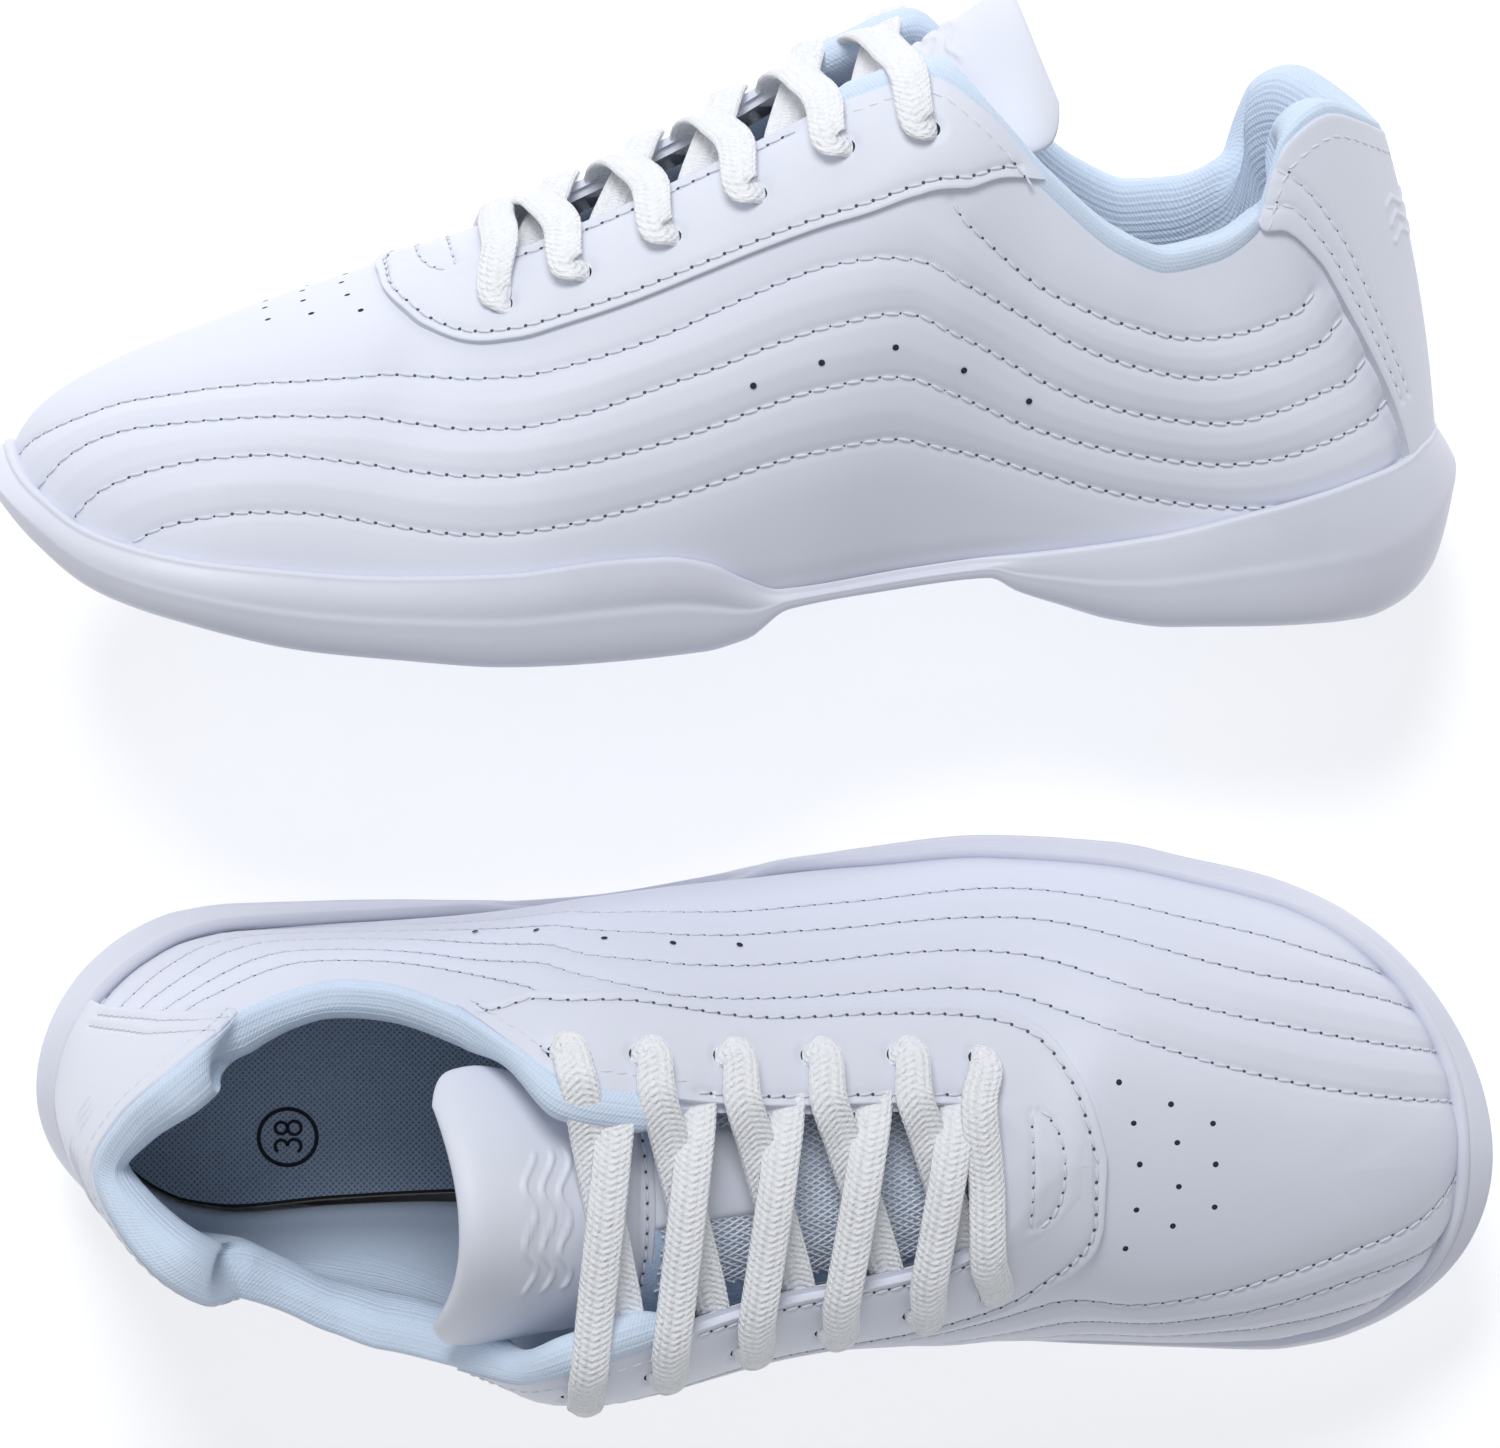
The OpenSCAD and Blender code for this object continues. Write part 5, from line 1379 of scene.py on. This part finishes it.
# strands: two families of diagonals laid over (x, y) cells 2.0 by 1.5 mm
Lu = 84.0
strands_v, strands_f, cnt = [], [], 0
span = 17.0
for fam in (1, -1):
    for c in np.arange(-60, 150, 1.62):
        yy = np.linspace(-span, span, 46)
        dist_along = c + fam * yy * 1.30
        u_ = dist_along / Lu
        okm = (u_ > .02) & (u_ < .592)
        if okm.sum() < 4:
            continue
        u_, y_ = u_[okm], yy[okm]
        v_ = y_ / np.maximum(at(TGP[2], u_), 1)
        okv = np.abs(v_) < .92
        if okv.sum() < 4:
            continue
        u_, v_ = u_[okv], v_[okv]
        P, Nn = tongue_o(u_, v_, -.30 + .10 * fam * np.cos(np.arange(len(u_)) * 1.0))
        Tn = unit(np.gradient(P, axis=0))
        B = unit(np.cross(Nn, Tn))
        ring = [P + B * .27, P + Nn * .22, P - B * .27, P - Nn * .22]
        k = len(P)
        strands_v.append(np.stack(ring, 1).reshape(-1, 3))
        strands_f.append(grid_faces(k, 4, close_m=True) + cnt)
        cnt += 4 * k
make("tongue_lattice", np.concatenate(strands_v), np.concatenate(strands_f).copy(), "mesh_strand", "shoe")
# the plain white patch
n1, n2 = 40, 30
up_ = np.linspace(.40, .60, n1)
vp = np.linspace(-.16, .60, n2)
UP_, VP = np.meshgrid(up_, vp, indexing="ij")
edge = np.minimum(np.minimum(UP_ - .40, .60 - UP_) * 90, np.minimum(VP + .16, .60 - VP) * 22)
Pp, _ = tongue_o(UP_, VP, -.6 + 1.1 * np.sqrt(np.clip(edge / 1.4, 0, 1)))
g = grid_faces(n1, n2)
V = Pp.reshape(-1, 3)
a, b, c = [V[g[400][k]] for k in range(3)]
if np.cross(b - a, c - a)[2] < 0:
    g = g[:, ::-1]
make("tongue_patch_soft", V, g.copy(), "overlay_leather", "shoe", hides=("tongue_patch",))

# =====================================================================
# laces
# =====================================================================
LV, LF, LUV, lc_ = [], [], [], 0


def spline(C, n):
    C = np.array(C, float)
    L = np.concatenate([[0], np.cumsum(np.linalg.norm(np.diff(C, axis=0), axis=1) ** .8)])
    u = np.linspace(0, L[-1], n)
    # centripetal-like hermite through the points
    m = np.zeros_like(C)
    m[1:-1] = ((C[2:] - C[1:-1]) / np.diff(L)[1:, None] * np.diff(L)[:-1, None] + (C[1:-1] - C[:-2]) / np.diff(L)[:-1, None] * np.diff(L)[1:, None]) / (L[2:] - L[:-2])[:, None]
    m[0], m[-1] = (C[1] - C[0]) / (L[1] - L[0]), (C[-1] - C[-2]) / (L[-1] - L[-2])
    i = np.clip(np.searchsorted(L, u, side="right") - 1, 0, len(L) - 2)
    h = (L[i + 1] - L[i])[:, None]
    t = ((u - L[i])[:, None]) / h
    t2, t3 = t * t, t ** 3
    return C[i] * (2 * t3 - 3 * t2 + 1) + h * m[i] * (t3 - 2 * t2 + t) + C[i + 1] * (3 * t2 - 2 * t3) + h * m[i + 1] * (t3 - t2)


def strap(path, ups, widths, thick=1.9, n=110, m=34, seed=0):
    """a flat woven band: path points, up vectors and widths at the same stations"""
    global lc_
    P = spline(path, n)
    st = np.linspace(0, 1, len(path))
    # stations by chord
    C = np.array(path, float)
    L = np.concatenate([[0], np.cumsum(np.linalg.norm(np.diff(C, axis=0), axis=1) ** .8)])
    u = np.linspace(0, 1, n)
    st = L / L[-1]
    Up = unit(np.stack([np.interp(u, st, np.array(ups, float)[:, k]) for k in range(3)], 1))
    Wd = np.interp(u, st, widths)
    Tn = unit(np.gradient(P, axis=0))
    for _ in range(6):
        Up[1:-1] = unit(Up[:-2] + Up[1:-1] * 2 + Up[2:])
        Wd[1:-1] = (Wd[:-2] + 2 * Wd[1:-1] + Wd[2:]) / 4
    B = unit(np.cross(Tn, Up))
    N = unit(np.cross(B, Tn))
    a = np.linspace(0, 2 * PI, m, endpoint=False)
    ca = np.sign(np.cos(a)) * np.abs(np.cos(a)) ** .8
    sa = np.sign(np.sin(a)) * np.abs(np.sin(a)) ** .75
    arc = np.concatenate([[0], np.cumsum(np.linalg.norm(np.diff(P, axis=0), axis=1))])
    th = thick * (1 + .25 * (7.0 - Wd) / 7.0)
    # woven ribs across the band as real relief
    wv = .07 * np.sin(2 * PI * arc / 1.45)[:, None] * np.cos(a * 7)[None]
    V = P[:, None] + B[:, None] * (ca[None] * (Wd / 2)[:, None] * (1 + wv * .4))[..., None] + N[:, None] * (sa[None] * (th / 2)[:, None] * (1 + wv))[..., None]
    LV.append(V.reshape(-1, 3))
    Fs = grid_faces(n, m, close_m=True)
    LF.extend((Fs + lc_).tolist())
    vco = np.where(a <= PI, (a - PI / 2) / (PI / 2) * 3.5, (a - 3 * PI / 2) / (PI / 2) * 3.5)
    LUV.append(np.stack([np.broadcast_to(arc[:, None] + seed, (n, m)), np.broadcast_to(vco[None], (n, m))], -1).reshape(-1, 2))
    c0 = lc_
    lc_ += n * m
    for row in (0, n - 1):
        LV.append(V[row].mean(0)[None])
        LUV.append(np.zeros((1, 2)))
        c = lc_
        lc_ += 1
        for j in range(m):
            p, q = c0 + row * m + j, c0 + row * m + (j + 1) % m
            LF.append([p, q, c] if row == 0 else [q, p, c])


def eye_pt(i, d, o, along=0.0):
    a, b = EYE[d][i]
    return skin(a, b, float(d), o) + np.array([along, 0, 0])


def eye_n(i, d):
    a, b = EYE[d][i]
    return normal(a, b, float(d))


def edge_pt(s, d, o):
    return skin(s, .975, float(d), o)


Z3 = [0, 0, 1.0]
for i in range(5):
    for d in (1, -1):
        far = EYE[-d][i][0] + (EYE[-d][i + 1][0] - EYE[-d][i][0]) * (1.0 if d > 0 else .98)
        near_s = EYE[d][i][0] + (EYE[d][i + 1][0] - EYE[d][i][0]) * .24
        a = edge_pt(far, -d, -3.0) + np.array([0, d * -5.0 * -1 * -1, 0])
        b = edge_pt(near_s, d, 3.6)
        nn = eye_n(i, d)
        c = eye_pt(i, d, 3.0, 1.8)
        e0 = eye_pt(i, d, 1.7, .3)
        e1 = eye_pt(i, d, -1.6, -.4)
        mid = lambda f: a + (b - a) * f
        if d > 0:
            pts = [a, mid(.22) + [0, 0, .4], mid(.5) + [0, 0, .6], mid(.76) + [0, 0, .3], b, c, e0, e1]
        else:
            pts = [a, mid(.16) + [0, 0, 4.2], mid(.42) + [0, 0, 5.8], mid(.72) + [0, 0, 3.6], b, c, e0, e1]
        ups = [Z3, Z3, [.2, 0, 1], [.25, d * .15, 1], [.25, d * .35, 1], nn * .8 + np.array([.1, 0, .3]), nn + np.array([-.6, 0, 0]), nn + np.array([-1.4, 0, 0])]
        strap(pts, ups, [5.8, 6.8, 7.1, 7.1, 7.1, 6.4, 4.6, 3.6], seed=i * 3.1 + d)
# the bar nearest the toe
pts = [eye_pt(5, 1, -1.6, -.2), eye_pt(5, 1, 1.6, .2), eye_pt(5, 1, 3.2, .8) + [0, -1.8, .3], edge_pt(.612, 1, 3.9), (edge_pt(.612, 1, 4) + edge_pt(.616, -1, 4)) / 2 + [.4, 0, .9],
       edge_pt(.616, -1, 3.9), eye_pt(5, -1, 3.2, .8) + [0, 1.8, .3], eye_pt(5, -1, 1.6, .2), eye_pt(5, -1, -1.6, -.2)]
n1_, n2_ = eye_n(5, 1), eye_n(5, -1)
strap(pts, [n1_ + np.array([-1.2, 0, 0]), n1_ + np.array([-.4, 0, 0]), n1_, [.35, .25, 1], [.4, 0, 1], [.35, -.25, 1], n2_, n2_ + np.array([-.4, 0, 0]), n2_ + np.array([-1.2, 0, 0])],
      [3.6, 4.8, 6.4, 7.1, 7.1, 7.1, 6.4, 4.8, 3.6], n=140, seed=40)
make("lace_woven", np.concatenate(LV), LF, "lace", "shoe", hides=("lace",), uv=np.concatenate(LUV))

# =====================================================================
# threads and the dark discs of painted hole shade gathered into pieces
# =====================================================================
DV, DF = dome(10)
for g in ("shoe", "toe"):
    Vt, Ft, c0 = [], [], 0
    for C, X, Y, Z in THREADS[g]:
        v, f = scatter(CAP_V, CAP_F, C, X, Y, Z)
        Vt.append(v)
        Ft.append(f + c0)
        c0 += len(v)
    make(f"stitching_{g}", np.concatenate(Vt), np.concatenate(Ft).copy(), "thread", g)
    # the dark discs of painted hole shade
    Vt, Ft, c0 = [], [], 0
    for H, NH, TH_, BH, r in HOLE_SHADES[g]:
        o = .10 if r < 1 else .05
        v, f = scatter(DV, DF, H - NH * .02, TH_ * r, BH * r, NH * o)
        Vt.append(v)
        Ft.append(f + c0)
        c0 += len(v)
    Vt, Ft = np.concatenate(Vt), np.concatenate(Ft)
    big = np.concatenate([np.full(len(H) * len(DF), int(r > .5)) for H, _, _, _, r in HOLE_SHADES[g]])
    make(f"punched_holes_{g}", Vt, [f[:3] for f in Ft.tolist()], "needle_hole", g, mats=["needle_hole", "hole"], fmat=big)

# =====================================================================
# carried-over CAD nodes (hidden inside) get their finishes
# =====================================================================
INNER = {"shank": "shank", "insole_board": "board", "toe_board": "board", "toe_puff": "stiffener", "heel_counter": "stiffener"}
for name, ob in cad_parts.items():
    key = name.split("_", 1)[1]
    if key in INNER:
        ob.data.materials.clear()
        ob.data.materials.append(MATS[INNER[key]])

# =====================================================================
# stage, light, camera
# =====================================================================
bpy.ops.mesh.primitive_plane_add(size=12, location=(.1, .05, -.0006))
floor = bpy.context.object
floor.name = "floor"
mf = bpy.data.materials.new("floor")
mf.use_nodes = True
bf = mf.node_tree.nodes["Principled BSDF"]
bf.inputs["Base Color"].default_value = (.98, .98, .985, 1)
bf.inputs["Emission Color"].default_value = (1, 1, 1, 1)
bf.inputs["Emission Strength"].default_value = .42
bf.inputs["Roughness"].default_value = .9
bf.inputs["Specular IOR Level"].default_value = .1
floor.data.materials.append(mf)

world = bpy.data.worlds.new("studio")
bpy.context.scene.world = world
world.use_nodes = True
bg = world.node_tree.nodes["Background"]
bg.inputs["Color"].default_value = (.93, .96, 1.0, 1)
bg.inputs["Strength"].default_value = .38
lp = world.node_tree.nodes.new("ShaderNodeLightPath")
mx = world.node_tree.nodes.new("ShaderNodeMix")
mx.data_type = "FLOAT"
mx.inputs[2].default_value = .315
mx.inputs[3].default_value = .95
world.node_tree.links.new(lp.outputs["Is Camera Ray"], mx.inputs[0])
world.node_tree.links.new(mx.outputs[0], bg.inputs["Strength"])


def area(name, loc, target, size, energy, color=(1, 1, 1)):
    li = bpy.data.lights.new(name, "AREA")
    li.shape = "DISK"
    li.size = size
    li.energy = energy
    li.color = color
    ob = bpy.data.objects.new(name, li)
    ob.location = loc
    ob.rotation_mode = "QUATERNION"
    ob.rotation_quaternion = (Vector(target) - Vector(loc)).to_track_quat("-Z", "Y")
    bpy.context.scene.collection.objects.link(ob)
    return ob


area("key", (-.1, 1.5, 1.45), (.1, .08, .03), .9, 21.0, (.97, .98, 1))
area("top", (.15, .35, 2.4), (.1, .08, .0), 1.6, 5.5, (.97, .98, 1))
area("fill", (-.9, -.9, 1.3), (.1, .08, .03), 1.2, 1.2, (.93, .96, 1))

cam_data = bpy.data.cameras.new("camera")
cam = bpy.data.objects.new("camera", cam_data)
bpy.context.scene.collection.objects.link(cam)
C = Vector((.1002, .5541, 2.300))
cam.location = C
cam.rotation_mode = "QUATERNION"
look = Vector((.0926, .0711, .030))
dirv = (look - C).normalized()
right = dirv.cross(Vector((0, 1, 0))).normalized()
upv = right.cross(dirv)
from mathutils import Matrix
cam.rotation_quaternion = Matrix((right, upv, -dirv)).transposed().to_quaternion()
cam_data.sensor_width = 36
cam_data.lens = 302.5
cam_data.clip_start, cam_data.clip_end = .05, 50
bpy.context.scene.camera = cam
try:
    bpy.context.scene.view_settings.view_transform = "Standard"
except TypeError:
    pass
